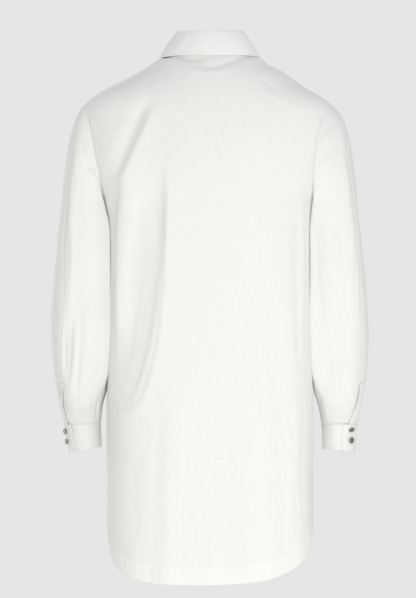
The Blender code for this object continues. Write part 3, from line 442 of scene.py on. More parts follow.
def bodyCreaseLift(p, out):
    lift = np.zeros(p.shape[:-1])
    for face, creases in bodyCreases.items():
        facing = soft(out[..., 1] * (1 if face == "back" else -1) * 4 + 0.5)
        for path, *crease in creases:
            across, height = smoothPath(np.array(path) * mm).T
            lift += creaseLift(p, out, onBody(face, across, height), *crease) * facing
    return lift


clothDrape = {
    "swell": 0.55 * mm,
    "size": 0.085,
    "ripple": 0.16 * mm,
    "rippleSize": 0.026,
    "squash": 0.45,  # how much longer than wide both are
    "shoulder": 0.2,  # how much of both there is above shoulderFrom
    "shoulderFrom": -0.02,
    "shoulderOver": 0.05,
}


def bodyCloth(turn, height):
    base = ring(turn, height)
    out = bodyOut(base)
    lift = bigFoldLift(base) + bodyCreaseLift(base, out)
    below = soft((clothDrape["shoulderFrom"] - height) / clothDrape["shoulderOver"])
    calm = clothDrape["shoulder"] + (1 - clothDrape["shoulder"]) * below
    squashed = base * [1.0, 1.0, clothDrape["squash"]]
    lift += clothDrape["swell"] * wander(squashed, clothDrape["size"], 3) * calm
    lift += clothDrape["ripple"] * wander(squashed, clothDrape["rippleSize"], 5) * calm
    return base + out * lift[..., None], out


# Meshes. A shell has an outside grid, a lining grid and a rounded rim between them.
def inScene(name, data):
    made = bpy.data.objects.new(name, data)
    bpy.context.scene.collection.objects.link(made)
    return made


def newMesh(name, corners, faces, material):
    mesh = bpy.data.meshes.new(name)
    mesh.from_pydata(corners, [], faces)
    mesh.shade_smooth()
    mesh.materials.append(material)
    return mesh


def pullIn(grid, edge, gap):
    rows = {"first": (0, 1), "last": (-1, -2)}
    if edge in rows:
        here, there = rows[edge]
        grid[here] += unit(grid[there] - grid[here]) * gap
    else:
        here, there = rows[edge.replace("Column", "")]
        grid[:, here] += unit(grid[:, there] - grid[:, here]) * gap


def runs(grid, axis):
    steps = np.linalg.norm(np.diff(grid, axis=axis), axis=-1)
    start = np.zeros_like(steps[:1] if axis == 0 else steps[:, :1])
    return np.concatenate([start, np.cumsum(steps, axis=axis)], axis=axis)


def outsOf(grid, toward):
    down, along = np.gradient(grid, axis=0), np.gradient(grid, axis=1)
    out = unit(np.cross(down, along))
    return out * np.sign((out * toward).sum(axis=-1, keepdims=True).mean())


def shell(name, laid, out, thick, material, gaps=(), bulge=0.3, fromHem=None):
    face = laid.copy()
    for edge, gap in gaps:
        pullIn(face, edge, gap)
    lining = face - out * thick
    rows, columns = face.shape[:2]
    number = np.arange(rows * columns).reshape(rows, columns)
    rim = np.concatenate([number[0, :-1], number[:-1, -1], number[-1, :0:-1], number[:0:-1, 0]])
    inner = np.concatenate([number[1, :-1], number[:-1, -2], number[-2, :0:-1], number[:0:-1, 1]])
    flatFace, flatLining = face.reshape(-1, 3), lining.reshape(-1, 3)
    away = unit(flatFace[rim] - flatFace[inner])
    middle = (flatFace[rim] + flatLining[rim]) / 2 + away * thick * bulge
    corners = np.concatenate([flatFace, flatLining, middle])
    a, b, c, d = number[:-1, :-1], number[:-1, 1:], number[1:, 1:], number[1:, :-1]
    quads = np.stack([a, b, c, d], axis=-1).reshape(-1, 4)
    step = rows * columns
    linings = quads[:, ::-1] + step
    first = np.arange(len(rim)) + 2 * step
    after = np.roll(first, -1)
    upper = np.stack([rim, first, after, np.roll(rim, -1)], axis=-1)
    lower = np.stack([first, rim + step, np.roll(rim, -1) + step, after], axis=-1)
    faces = np.concatenate([quads, linings, upper, lower])
    start, beside, below = (corners[quads[:, k]] for k in (0, 1, 3))
    normal = np.cross(beside - start, below - start)
    if (normal * out[:-1, :-1].reshape(-1, 3)).sum() < 0:
        faces = faces[:, ::-1]
    mesh = newMesh(name, corners.tolist(), faces.tolist(), material)
    u = runs(face, 1)
    u = u - u[:, columns // 2][:, None]
    flatUv = np.stack([u, runs(face, 0)], axis=-1).reshape(-1, 2)
    perVertex = np.concatenate([flatUv, flatUv, flatUv[rim]])
    loops = np.zeros(len(mesh.loops), dtype=np.int32)
    mesh.loops.foreach_get("vertex_index", loops)
    mesh.uv_layers.new(name="cloth").data.foreach_set("uv", perVertex[loops].astype(np.float32).ravel())
    away = np.ones(rows * columns) if fromHem is None else fromHem.reshape(-1)
    away = np.concatenate([away, away, away[rim]]).astype(np.float32)
    mesh.attributes.new("fromHem", "FLOAT", "POINT").data.foreach_set("value", away)
    return inScene(name, mesh), laid, out


def dress(piece, slotName, *nodes):
    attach(piece, "root")
    if nodes:
        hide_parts(*nodes)


# Work at the edges: cloth dips into a seam, with small uneven puckers beside it.
def edgeRuns(face, edge):
    if edge in ("firstColumn", "lastColumn"):
        along = runs(face, 1)
        return along if edge == "firstColumn" else along[:, -1:] - along
    down = runs(face, 0)
    return down if edge == "first" else down[-1:] - down


def nearestEdge(face, *edges):
    return np.minimum.reduce([edgeRuns(face, edge) for edge in edges])


def groove(one, away):  # the stitched line sinks into the cloth
    return one["groove"] * hump((away - one["stitch"]) / one["grooveWide"])


seamWork = {
    "length": 0.011,
    "start": 0.003,
    "reach": 0.015,
    "dipWide": 0.0022,
    "drift": 2.2,
    "driftSize": 0.05,
    "unevenSize": 0.07,
}


def seamLift(face, edge, dip, pucker, length=seamWork["length"], seed=1):
    away = edgeRuns(face, edge)
    axis = 0 if "Column" in edge else 1
    along = runs(face, axis)
    here = np.s_[:1] if edge.startswith("first") else np.s_[-1:]
    here = (np.s_[:], here) if "Column" in edge else here
    at = along[here]
    drift = wander(face[here], seamWork["driftSize"], seed, 1) * seamWork["drift"]
    size = np.clip(0.6 + 0.8 * wander(face[here], seamWork["unevenSize"], seed + 1, 1), 0.1, 1.3)
    wave = np.sin(2 * math.pi * at / length + drift) * size
    near = soft(away / seamWork["start"]) * np.clip(1 - away / seamWork["reach"], 0, 1) ** 1.5
    return pucker * wave * near - dip * hump(away / seamWork["dipWide"])


hem = {
    "deep": 0.0254,
    "stitch": 0.0240,
    "step": 0.35 * mm,
    "stepWide": 0.0012,
    "groove": 0.30 * mm,
    "grooveWide": 0.0014,
    "pucker": 0.55 * mm,
    "length": 0.0066,
    "tuckMiddle": 0.0190,
    "tuckWide": 0.0185,
    "rimDrop": 0.3 * mm,
    "rimWide": 0.0015,
    "drift": 3.0,
    "driftSize": 0.06,
    "unevenSize": 0.09,
    "reach": 0.05,
    "steepest": 1.6,
    # rows of the mesh: how far each is above the edge, in millimetres
    "rows": (30, 27.6, 26.6, 25.8, 25.1, 24.5, 24.0, 23.4, 22.6, 21, 18.5, 15, 11.5, 8, 5, 2.6, 1.0, 0.2),
}


def hemLift(face, away):
    along = runs(face, 1)[-1:]
    rim = face[-1:]
    drift = hem["drift"] * wander(rim, hem["driftSize"], 21, 2)
    phase = math.pi * along / hem["length"]
    wave = np.sin(2 * phase + drift) + 0.5 * np.sin(phase + 2 * drift)
    size = np.clip(0.65 + 0.7 * wander(rim, hem["unevenSize"], 23, 2), 0.15, 1.4)
    tuck = hem["pucker"] * wave * size * hump((away - hem["tuckMiddle"]) / hem["tuckWide"])
    band = hem["step"] * soft((hem["deep"] - away) / hem["stepWide"] + 0.5)
    return tuck + band - groove(hem, away) - hem["rimDrop"] * hump(away / hem["rimWide"])


def skirtRows(top, turns, count):
    low = hemHeight(turns)
    level = np.linalg.norm(np.gradient(ring(turns, low), axis=0)[:, :2], axis=1)
    slope = np.gradient(low) / np.maximum(level, 1e-5)
    lean = np.sqrt(1 + np.clip(np.abs(slope), 0, hem["steepest"]) ** 2)
    away = np.array(hem["rows"]) * mm
    last = low + away[0] * lean
    rows = [top + (last - top) * k / count for k in range(1, count)]
    rows += [low + a * lean for a in away] + [low]
    return np.array(rows)


def panel(name, places, material, seams, gaps, sink=None, skirtFrom=0):
    face, out = bodyCloth(places[..., 0], places[..., 1])
    face = np.where(np.isnan(face), 0, face)
    away = np.ones(face.shape[:2])
    down = edgeRuns(face, "last")
    away[skirtFrom:] = np.minimum(down[skirtFrom:], 1)
    lift = hemLift(face, away) * (away < hem["reach"])
    for edge, dip, pucker, seed in seams:
        lift = lift + seamLift(face, edge, dip * mm, pucker * mm, seed=seed)
    face = face + out * lift[..., None]
    if sink is not None:
        face = face - out * sink(face[..., 0])[..., None]
    return shell(name, face, out, body["thick"], material, gaps, fromHem=away)


def backPanel(material):
    shares = evenShares(body["columns"], 0, math.pi)
    turns = np.linspace(0, math.pi, body["armholeRows"] + 1)
    left, right = armholePlace("left", turns), armholePlace("right", turns)
    left[-1, 0], right[-1, 0] = 0, math.pi
    neck = neckPlace(math.pi * shares)
    neck[0, 0], neck[-1, 0] = 0, math.pi
    down = np.linspace(0, 1, body["shoulderRows"] + 1)[:-1, None]
    left = np.concatenate([neck[0] + (left[0] - neck[0]) * down, left])
    right = np.concatenate([neck[-1] + (right[0] - neck[-1]) * down, right])
    under = (left[-1, 1] + right[-1, 1]) / 2
    count = body["shoulderRows"] + body["armholeRows"]
    rows = []
    for k, (start, end) in enumerate(zip(left, right)):
        row = start + (end - start) * shares[:, None]
        level = neck[:, 1] + (under - neck[:, 1]) * k / count
        row[:, 1] += (level - row[:, 1]) * (1 - (2 * shares - 1) ** 6)
        rows.append(row)
    around = rows[-1][:, 0]
    for heights in skirtRows(rows[-1][:, 1], around, body["skirtRows"]):
        rows.append(np.stack([around, heights], axis=-1))
    half = cut["seamGap"] / 2
    seams = (("firstColumn", 0.2, 0.30, 31), ("lastColumn", 0.2, 0.30, 33), ("first", 0.2, 0.10, 35))
    gaps = (("firstColumn", -half), ("lastColumn", -half))
    return panel("backPanel", np.stack(rows), material, seams, gaps, skirtFrom=count)


def frontLevels():
    under = cut["armholes"]["left"]["bottom"]
    low = float(neckPoint(np.array(-math.pi / 2))[2])
    bottom = float(hemHeight(np.array(-math.pi / 2)))
    steps = body["armholeRows"] - body["neckSteps"]
    above = low + (under - low) * np.arange(1, steps + 1) / steps
    last = bottom + hem["rows"][0] * mm
    skirt = under + (last - under) * np.arange(1, body["skirtRows"]) / body["skirtRows"]
    return np.concatenate([above, skirt, bottom + np.array(hem["rows"]) * mm, [bottom]])


def frontNeckTurns(side, steps):
    end = neckTurnAt(cut["underlapEnd"]) if side == "left" else neckTurnAt(-cut["plackHalf"])
    return np.linspace(0 if side == "left" else -math.pi, end, steps + 1)


def frontPanel(side, edge, material, sink=None):
    seam = 0.0 if side == "left" else math.pi
    under = cut["armholes"][side]["bottom"]
    outer = armholePlace(side, -np.linspace(0, math.pi, body["armholeRows"] + 1))
    outer[0, 0] = outer[-1, 0] = seam
    around = neckPlace(frontNeckTurns(side, body["neckSteps"]))
    around[0, 0] = seam if side == "left" else -seam
    levels = frontLevels()
    down = turnOf(points(edge, -depthAt(edge, levels), levels))
    main = np.concatenate([around, np.stack([down, levels], axis=-1)])
    if side == "right":
        main[:, 0] += 2 * math.pi
        outer[:, 0] = np.where(outer[:, 0] < 1e-9, outer[:, 0] + 2 * math.pi, outer[:, 0])
    shares = evenShares(body["frontColumns"], seam, main[-1, 0])
    if side == "left":  # finer where it dips under the band
        extra = (shares[1:] + shares[:-1]) / 2
        shares = np.sort(np.concatenate([shares, extra[extra > body["fineFrom"]]]))
    top = outer[:, None] + (main[: len(outer)] - outer)[:, None] * shares[None, :, None]
    turns = seam + (main[-1, 0] - seam) * shares
    heights = skirtRows(np.full(turns.shape, under), turns, body["skirtRows"])
    skirt = np.stack([np.broadcast_to(turns, heights.shape), heights], axis=-1)
    edgeTurns = main[len(outer) :, 0]
    skirt[..., 0] += (edgeTurns[:, None] - turns[-1]) * soft(shares)[None, :] ** 2
    grid = np.concatenate([top, skirt])
    gaps = [("firstColumn", -cut["seamGap"] / 2), ("first", cut["seamGap"])]
    if side == "right":
        gaps.append(("lastColumn", cut["seamGap"]))
    seed = 41 if side == "left" else 51
    seams = (("firstColumn", 0.2, 0.30, seed), ("first", 0.2, 0.12, seed + 4))
    name = "frontPanel" + side.capitalize()
    return panel(name, grid, material, seams, gaps, sink, skirtFrom=len(outer) - 1)


band = {
    "thick": 1.3 * mm,
    "columns": 25,
    "rise": 0.10 * mm,
    "stitch": 0.0050,
    "groove": 0.25 * mm,
    "grooveWide": 0.0014,
    "ripple": 0.12 * mm,
    "rippleSize": 0.012,
}


def frontBand(material):
    across = np.linspace(-cut["plackHalf"], cut["plackHalf"], band["columns"])
    levels = frontLevels()
    rows = []
    for x in across:
        top = float(neckPoint(np.array(neckTurnAt(x)))[2])
        heights = np.concatenate([[top], top + (levels[0] - top) * np.array([0.3, 0.6]), levels])
        base = points(x, -depthAt(x, heights), heights)
        rows.append(np.stack([turnOf(base), heights], axis=-1))
    places = np.stack(rows, axis=1)
    face, out = bodyCloth(places[..., 0], places[..., 1])
    lift = band["rise"] - groove(band, cut["plackHalf"] - np.abs(across))
    ripple = band["ripple"] * wander(face * [1, 1, 2.4], band["rippleSize"], 61, 1)
    face = face + out * (lift + ripple)[..., None]
    return shell("frontBand", face, out, band["thick"], material)


# The collar: a stand round the neck and the turned-down part over it.
collar = {
    "standBack": 0.0295,
    "standFront": 0.025,
    "endDrop": 0.005,
    "endReach": 0.011,
    "lean": 0.15,
    "roll": 0.0050,
    "rollShare": 0.3,
    "bulge": 0.0020,
    "clear": 0.0006,
    "leftWider": 1.025,
    "leftLower": 0.0025,
    "leftLowerTo": 55,  # degrees
    "leftDrop": 0.0012,
    "leftDropFrom": 1.45,
    "leftDropOver": 0.7,
    "closest": 0.80,  # share of its reach to which its edge is pulled in at most
    "seat": 0.0010,
    "wall": 0.0016,
    # its edge, in millimetres, for turns in degrees
    "names": ("turn", "across", "back", "least"),
    "rows": (
        (-82, 34.5, -72, -200),
        (-60, 58, -58, -200),
        (-30, 78, -30, -200),
        (0, 84.5, 0, 1),
        (30, 72, 36, 3.5),
        (60, 41.5, 58.5, 4.5),
        (90, 0, 65, 4.5),
    ),
    "columns": 170,
    "standRows": 16,
    "standThick": 1.3 * mm,
    "standRipple": 0.15 * mm,
    "standRippleSize": 0.02,
    "footStitch": 0.0022,
    "footGroove": 0.22 * mm,
    "footWide": 0.0013,
    "fallColumns": 190,
    "rollRows": 12,
    # rows of the turned-down part: shares of the way from the roll to its edge
    "fallRows": (0.04, 0.09, 0.15, 0.22, 0.3, 0.38, 0.46, 0.54, 0.60, 0.65, 0.69, 0.72, 0.745, 0.77, 0.79,
                 0.81, 0.83, 0.85, 0.87, 0.89, 0.915, 0.94, 0.965, 0.985, 1.0),
    "fallThick": 1.2 * mm,
    "swell": 0.35 * mm,
    "size": 0.030,
    "stitch": 0.0055,
    "groove": 0.30 * mm,
    "grooveWide": 0.0016,
    "edgeRise": 0.18 * mm,
    "edgeStart": 0.0015,
    "creaseFrom": 0.28,
    # creases: path as (degrees round, share), depth, widths in millimetres, crispness
    "creases": (
        (((52, 0.30), (55, 0.36), (60, 0.40)), -1.6, 3, 3, 0.5),
        (((47, 0.34), (48, 0.42), (52, 0.47)), 1.2, 3, 3, 0.4),
        (((118, 0.44), (113, 0.60), (108, 0.72)), -0.9, 4, 5, 0.3),
        (((52, 0.36), (46, 0.60), (42, 0.95)), 0.7, 7, 8, 0.1),
        (((90, 0.55), (70, 0.62), (50, 0.70)), -0.5, 6, 7, 0.0),
        (((140, 0.50), (124, 0.58), (104, 0.60)), 0.5, 6, 6, 0.0),
        (((20, 0.40), (10, 0.66), (4, 0.98)), -0.8, 7, 6, 0.1),
        (((160, 0.42), (168, 0.68), (172, 0.98)), -0.8, 6, 7, 0.1),
        (((-30, 0.40), (-42, 0.70), (-48, 0.96)), 0.8, 8, 8, 0.1),
        (((208, 0.40), (220, 0.66), (228, 0.96)), 0.7, 8, 8, 0.1),
    ),
}
collarCurve = curves(collar, plain=("turn",))


def neckOut(turn):
    place = neckPoint(turn)
    power = np.where(place[..., 1] > 0, 2.0, cut["neckFrontSquare"]) - 1
    deep = np.where(place[..., 1] > 0, cut["neckBack"], cut["neckFront"])
    x = signed(place[..., 0] / cut["neckHalf"], power) / cut["neckHalf"]
    y = signed(place[..., 1] / deep, power) / deep
    return unit(points(x, y, 0))


def standHeight(turn):
    return collar["standBack"] + (collar["standFront"] - collar["standBack"]) * soft(-np.sin(turn))


def standFrame(turn):
    level = neckOut(turn)
    up = unit(points(0, 0, 1) - level * collar["lean"])
    return neckPoint(turn), up, unit(level + points(0, 0, 1) * collar["lean"])


def collarStand(material):
    start, end = neckTurnAt(cut["underlapEnd"]), 2 * math.pi + neckTurnAt(cut["plackHalf"])
    turns = np.linspace(start, end, collar["columns"])
    foot, up, out = standFrame(turns)
    leftFront = (turns < math.pi / 2) & (foot[:, 1] < 0)
    foot = foot - out * (underlap(foot[:, 0]) * leftFront)[:, None]
    run = lengthAlong(foot)
    fromEnd = np.minimum(run, run[-1] - run)
    height = standHeight(turns) - collar["endDrop"] * (1 - np.clip(fromEnd / collar["endReach"], 0, 1)) ** 2
    shares = np.linspace(0, 1, collar["standRows"])
    face = foot + up * (cut["seamGap"] + height * shares[:, None])[..., None]
    outs = np.broadcast_to(out, face.shape)
    rise = (height * shares[:, None])[..., None]
    face = face - outs * collar["footGroove"] * hump((rise - collar["footStitch"]) / collar["footWide"])
    face = face + outs * (collar["standRipple"] * wander(face, collar["standRippleSize"], 65, 2))[..., None]
    return shell("collarStand", face, outs, collar["standThick"], material)


def collarEdge(turn):
    degrees = 90 - np.degrees(np.abs(turn - math.pi / 2))
    x = collarCurve["across"](degrees) * np.where(turn > math.pi / 2, -1, collar["leftWider"])
    y = collarCurve["back"](degrees)
    lower = collar["leftLower"] * hump(degrees / collar["leftLowerTo"]) * (turn < math.pi / 2)
    least = collarCurve["least"](degrees) - lower
    low, high = np.full(x.shape, collar["closest"]), np.ones(x.shape)  # to where cloth is just below it
    for _ in range(12):
        middle = (low + high) / 2
        above = heightOf(x * middle, y * middle) + collar["clear"] > least
        low, high = np.where(above, middle, low), np.where(above, high, middle)
    x, y = x * high, y * high
    return points(x, y, np.maximum(least, heightOf(x, y) + collar["clear"]))


def collarSurface(turn, share):
    foot, up, out = standFrame(turn)
    rise = standHeight(turn) + cut["seamGap"] + collar["seat"]
    rise = rise - collar["leftDrop"] * soft((collar["leftDropFrom"] - turn) / collar["leftDropOver"])
    base = foot - out * collar["wall"] + up * rise[..., None]
    radius = collar["roll"] / 2
    roll = math.pi * np.clip(share / collar["rollShare"], 0, 1)
    across, above = radius * (1 - np.cos(roll)), radius * np.sin(roll)
    over = base + out * across[..., None] + up * above[..., None]
    down = np.clip((share - collar["rollShare"]) / (1 - collar["rollShare"]), 0, 1)
    place = over + (collarEdge(turn) - over) * down[..., None]
    return place + out * (collar["bulge"] * 4 * down * (1 - down))[..., None]


def collarFall(material):
    start = math.radians(collar["rows"][0][0])
    turns = np.linspace(start, math.pi - start, collar["fallColumns"])
    roll = np.linspace(0, collar["rollShare"], collar["rollRows"])
    low = collar["rollShare"] + (1 - collar["rollShare"]) * np.array(collar["fallRows"])
    turn, share = np.meshgrid(turns, np.concatenate([roll, low]))
    base = collarSurface(turn, share)
    out = outsOf(base, base * [1, 1, 0] + [0, 0, 0.01])
    lift = collar["swell"] * wander(base, collar["size"], 71) * soft((share - 0.3) * 4)
    for path, *crease in collar["creases"]:
        line = smoothPath(path)
        line = collarSurface(np.radians(line[:, 0]), line[:, 1])
        lift = lift + creaseLift(base, out, line, *crease) * soft((share - collar["creaseFrom"]) * 8)
    away = nearestEdge(base, "last", "firstColumn", "lastColumn")
    rise = collar["edgeRise"] * soft((collar["stitch"] - away) / mm) * soft(away / collar["edgeStart"])
    lift = lift + (rise - groove(collar, away)) * (share > 0.5)
    face = base + out * lift[..., None]
    return shell("collarFall", face, out, collar["fallThick"], material)


# The sleeves: each hangs from its armhole as a tube, cut in a front and a back piece.
sleeve = {
    "topRing": -0.300,
    "clear": 0.0007,
    "least": 0.0002,
    "arriveOut": 0.08,  # how it comes into its top ring
    "arrive": 0.95,
    "foldStart": 0.3,  # shares of a fold's length over which it comes and goes
    "foldEnd": 0.2,
    "square": 2.25,
    "squareInside": 3.1,
    "capSeam": math.pi / 12,
    "thick": 0.8 * mm,
    # its edges, in millimetres: dip and pucker of the seam, length of a pucker, how far it runs on under
    # the next piece
    "seams": {
        "firstColumn": (0.35, 0.25, 10, 0.1),
        "lastColumn": (0.30, 0.20, 12, 0.1),
        "first": (0.75, 0.35, 13, 1.0),
        "last": (0.80, 0.55, 10, 1.5),
    },
    "nearer": 14.0 * mm,  # how much closer its inner side lies to the body than the solid
    "nearerFrom": 0.025,  # heights above the cuff
    "nearerOver": 0.11,
    "flatterOver": 0.08,
    "leans": 13.0 * mm,  # room beside the body that it closes by leaning
    "gape": {"left": 6.0, "right": 3.0},  # how far the vent opens, in millimetres
    "gapeAt": 1.885,
    "gapeReach": 0.115,
    "gapeColumns": 12,
    "swell": 0.5 * mm,
    "size": 0.060,
    "ripple": 0.15 * mm,
    "rippleSize": 0.018,
    "capRows": 56,
    "armRows": 96,
    "columns": {"back": 58, "front": 84},
    # its rings in millimetres, and where its seam lies in degrees
    "names": ("height", "outer", "inner", "back", "front", "seam"),
    "left": (
        (-300, 259, 174.5, 72, -62, 46),
        (-350, 263, 173, 72, -64, 52),
        (-400, 267.5, 172.5, 70, -65, 57),
        (-465, 270.5, 173, 64, -64, 54),
        (-520, 266.5, 174.5, 54, -63, 48),
        (-560, 261, 178.5, 45, -62, 40),
        (-590, 255, 182.5, 34, -61, 30),
        (-608, 250.5, 184.5, 22, -61, 23),
        (-622, 246.5, 186, 13, -62, 20),
    ),
    "right": (
        (-300, 256, 175, 74, -62, 40),
        (-350, 261.5, 174.5, 73, -64, 38),
        (-400, 266, 174, 71, -65, 42),
        (-485, 269, 173.5, 62, -64, 43),
        (-545, 266, 176.5, 50, -62, 34),
        (-578, 260.5, 181.5, 40, -61, 32),
        (-600, 256.5, 186, 28, -60, 38),
        (-612, 253.5, 188, 20, -60, 42),
        (-622, 250.5, 190, 13, -61, 45),
    ),
    # the largest folds, as in the solids: path (degrees round, height in mm), depth in mm, width in degrees
    "folds": {
        "left": (
            (((92, -330), (84, -410), (74, -480), (66, -560)), -3.5, 22),
            (((150, -360), (140, -440), (128, -520), (116, -600)), 3, 24),
            (((-60, -330), (-52, -420), (-56, -500), (-64, -590)), -4, 26),
            (((-120, -400), (-112, -470), (-104, -540), (-98, -606)), 3, 26),
        ),
        "right": (
            (((96, -340), (88, -420), (84, -500), (86, -590)), -3.5, 22),
            (((146, -360), (138, -430), (130, -510), (118, -600)), 3, 24),
            (((-58, -320), (-50, -410), (-56, -500), (-66, -590)), -4, 26),
            (((-118, -400), (-112, -470), (-106, -540), (-100, -606)), 3, 26),
        ),
    },
}
sleeveCurves = {
    side: curves({"names": sleeve["names"], "rows": sleeve[side]}, plain=("seam",)) for side in sign
}
cuffTop = -0.6225


def armRing(side, turn, height):
    size = sleeveCurves[side]
    outer, inner = size["outer"](height), size["inner"](height)
    nearer = sleeve["nearer"] * soft((height - cuffTop - sleeve["nearerFrom"]) / sleeve["nearerOver"])
    back, front = size["back"](height), size["front"](height)
    c, s = np.cos(turn), np.sin(turn)
    flatter = soft(-1.5 * c) * soft((height - cuffTop) / sleeve["flatterOver"])  # against the body
    power = 2 / (sleeve["square"] + (sleeve["squareInside"] - sleeve["square"]) * flatter)
    half = (outer - inner) / 2 + np.where(c < 0, nearer, 0)
    x = (outer + inner) / 2 + half * signed(c, power)
    y = (back + front) / 2 + (back - front) / 2 * signed(s, power)
    return points(sign[side] * x, y, height)


def sleeveFoldLift(side, turn, height):
    lift = np.zeros(np.broadcast(turn, height).shape)
    degrees = np.degrees(np.mod(turn + math.pi, 2 * math.pi) - math.pi)
    for path, depth, width in sleeve["folds"][side]:
        around, level = np.array(path, float).T
        level = level * mm
        length = level[0] - level[-1]
        ends = soft((level[0] - height) / (sleeve["foldStart"] * length))
        ends = ends * soft((height - level[-1]) / (sleeve["foldEnd"] * length))
        lift = lift + depth * mm * hump((degrees - curve(level, around)(height)) / width) * ends
    return lift


def armholeEdge(side):
    turns = np.radians(np.linspace(-181, 181, 725))
    places = armholePlace(side, turns)
    return turns, bodyCloth(places[..., 0], places[..., 1])[0]


armholeEdges = {side: armholeEdge(side) for side in ("left", "right")}


def sleeveBase(side, turn, share):
    turn, share = np.broadcast_arrays(np.asarray(turn, float), np.asarray(share, float))
    around, edge = armholeEdges[side]
    start = placesAt(turn, around, edge)
    c, s = np.cos(turn), np.sin(turn)
    topRing = armRing(side, turn, np.full(turn.shape, sleeve["topRing"]))
    chord = np.linalg.norm(topRing - start, axis=-1, keepdims=True)
    under = soft(-c)  # at the underarm it turns down at once
    outward, downward = 0.90 - 0.05 * c - 0.30 * under, 0.28 + 0.24 * c + 0.50 * under
    leave = unit(points(sign[side] * outward, 0.22 * s, -downward))
    leave = leave * chord * cut["armholes"][side]["full"]
    arrive = points(sign[side] * sleeve["arriveOut"] * (1 + c), 0, -1) * chord * sleeve["arrive"]
    t = np.clip(share, 0, 1)[..., None]
    cap = (
        start * (1 - 3 * t**2 + 2 * t**3)
        + leave * (t - 2 * t**2 + t**3)
        + topRing * (3 * t**2 - 2 * t**3)
        + arrive * (t**3 - t**2)
    )
    height = sleeve["topRing"] + (cuffTop - sleeve["topRing"]) * np.clip(share - 1, 0, 1)
    place = np.where(share[..., None] < 1, cap, armRing(side, turn, height))
    return clearOfBody(side, place, share, turn)


def clearOfBody(side, place, share, turn):
    _, deep, square = sizesAt(place)
    inside = np.clip(1 - (np.abs(place[..., 1]) / deep) ** square, 0, 1) ** (1 / square)
    least = bodyCurve[side](place[..., 2]) * inside + sleeve["clear"] * soft(share * 2.0)
    room = place[..., 0] * sign[side] - least - sleeve["least"]
    push = np.maximum(-room, 0) * soft(share * 6) * (np.cos(turn) < 0.35)
    beside = soft(share * 3) * soft((1.9 - share) * 5) * soft(-2 * np.cos(turn))
    room = np.maximum(room, 0)
    lean = room * np.exp(-((room / sleeve["leans"]) ** 2)) * beside  # the sleeve rests against the body
    return place + points(sign[side] * (push - lean), 0, 0)


def seamTurn(side, share):
    height = sleeve["topRing"] + (cuffTop - sleeve["topRing"]) * np.clip(share - 1, 0, 1)
    low = np.radians(sleeveCurves[side]["seam"](height))
    return np.where(share < 1, sleeve["capSeam"] + (low - sleeve["capSeam"]) * soft(share), low)


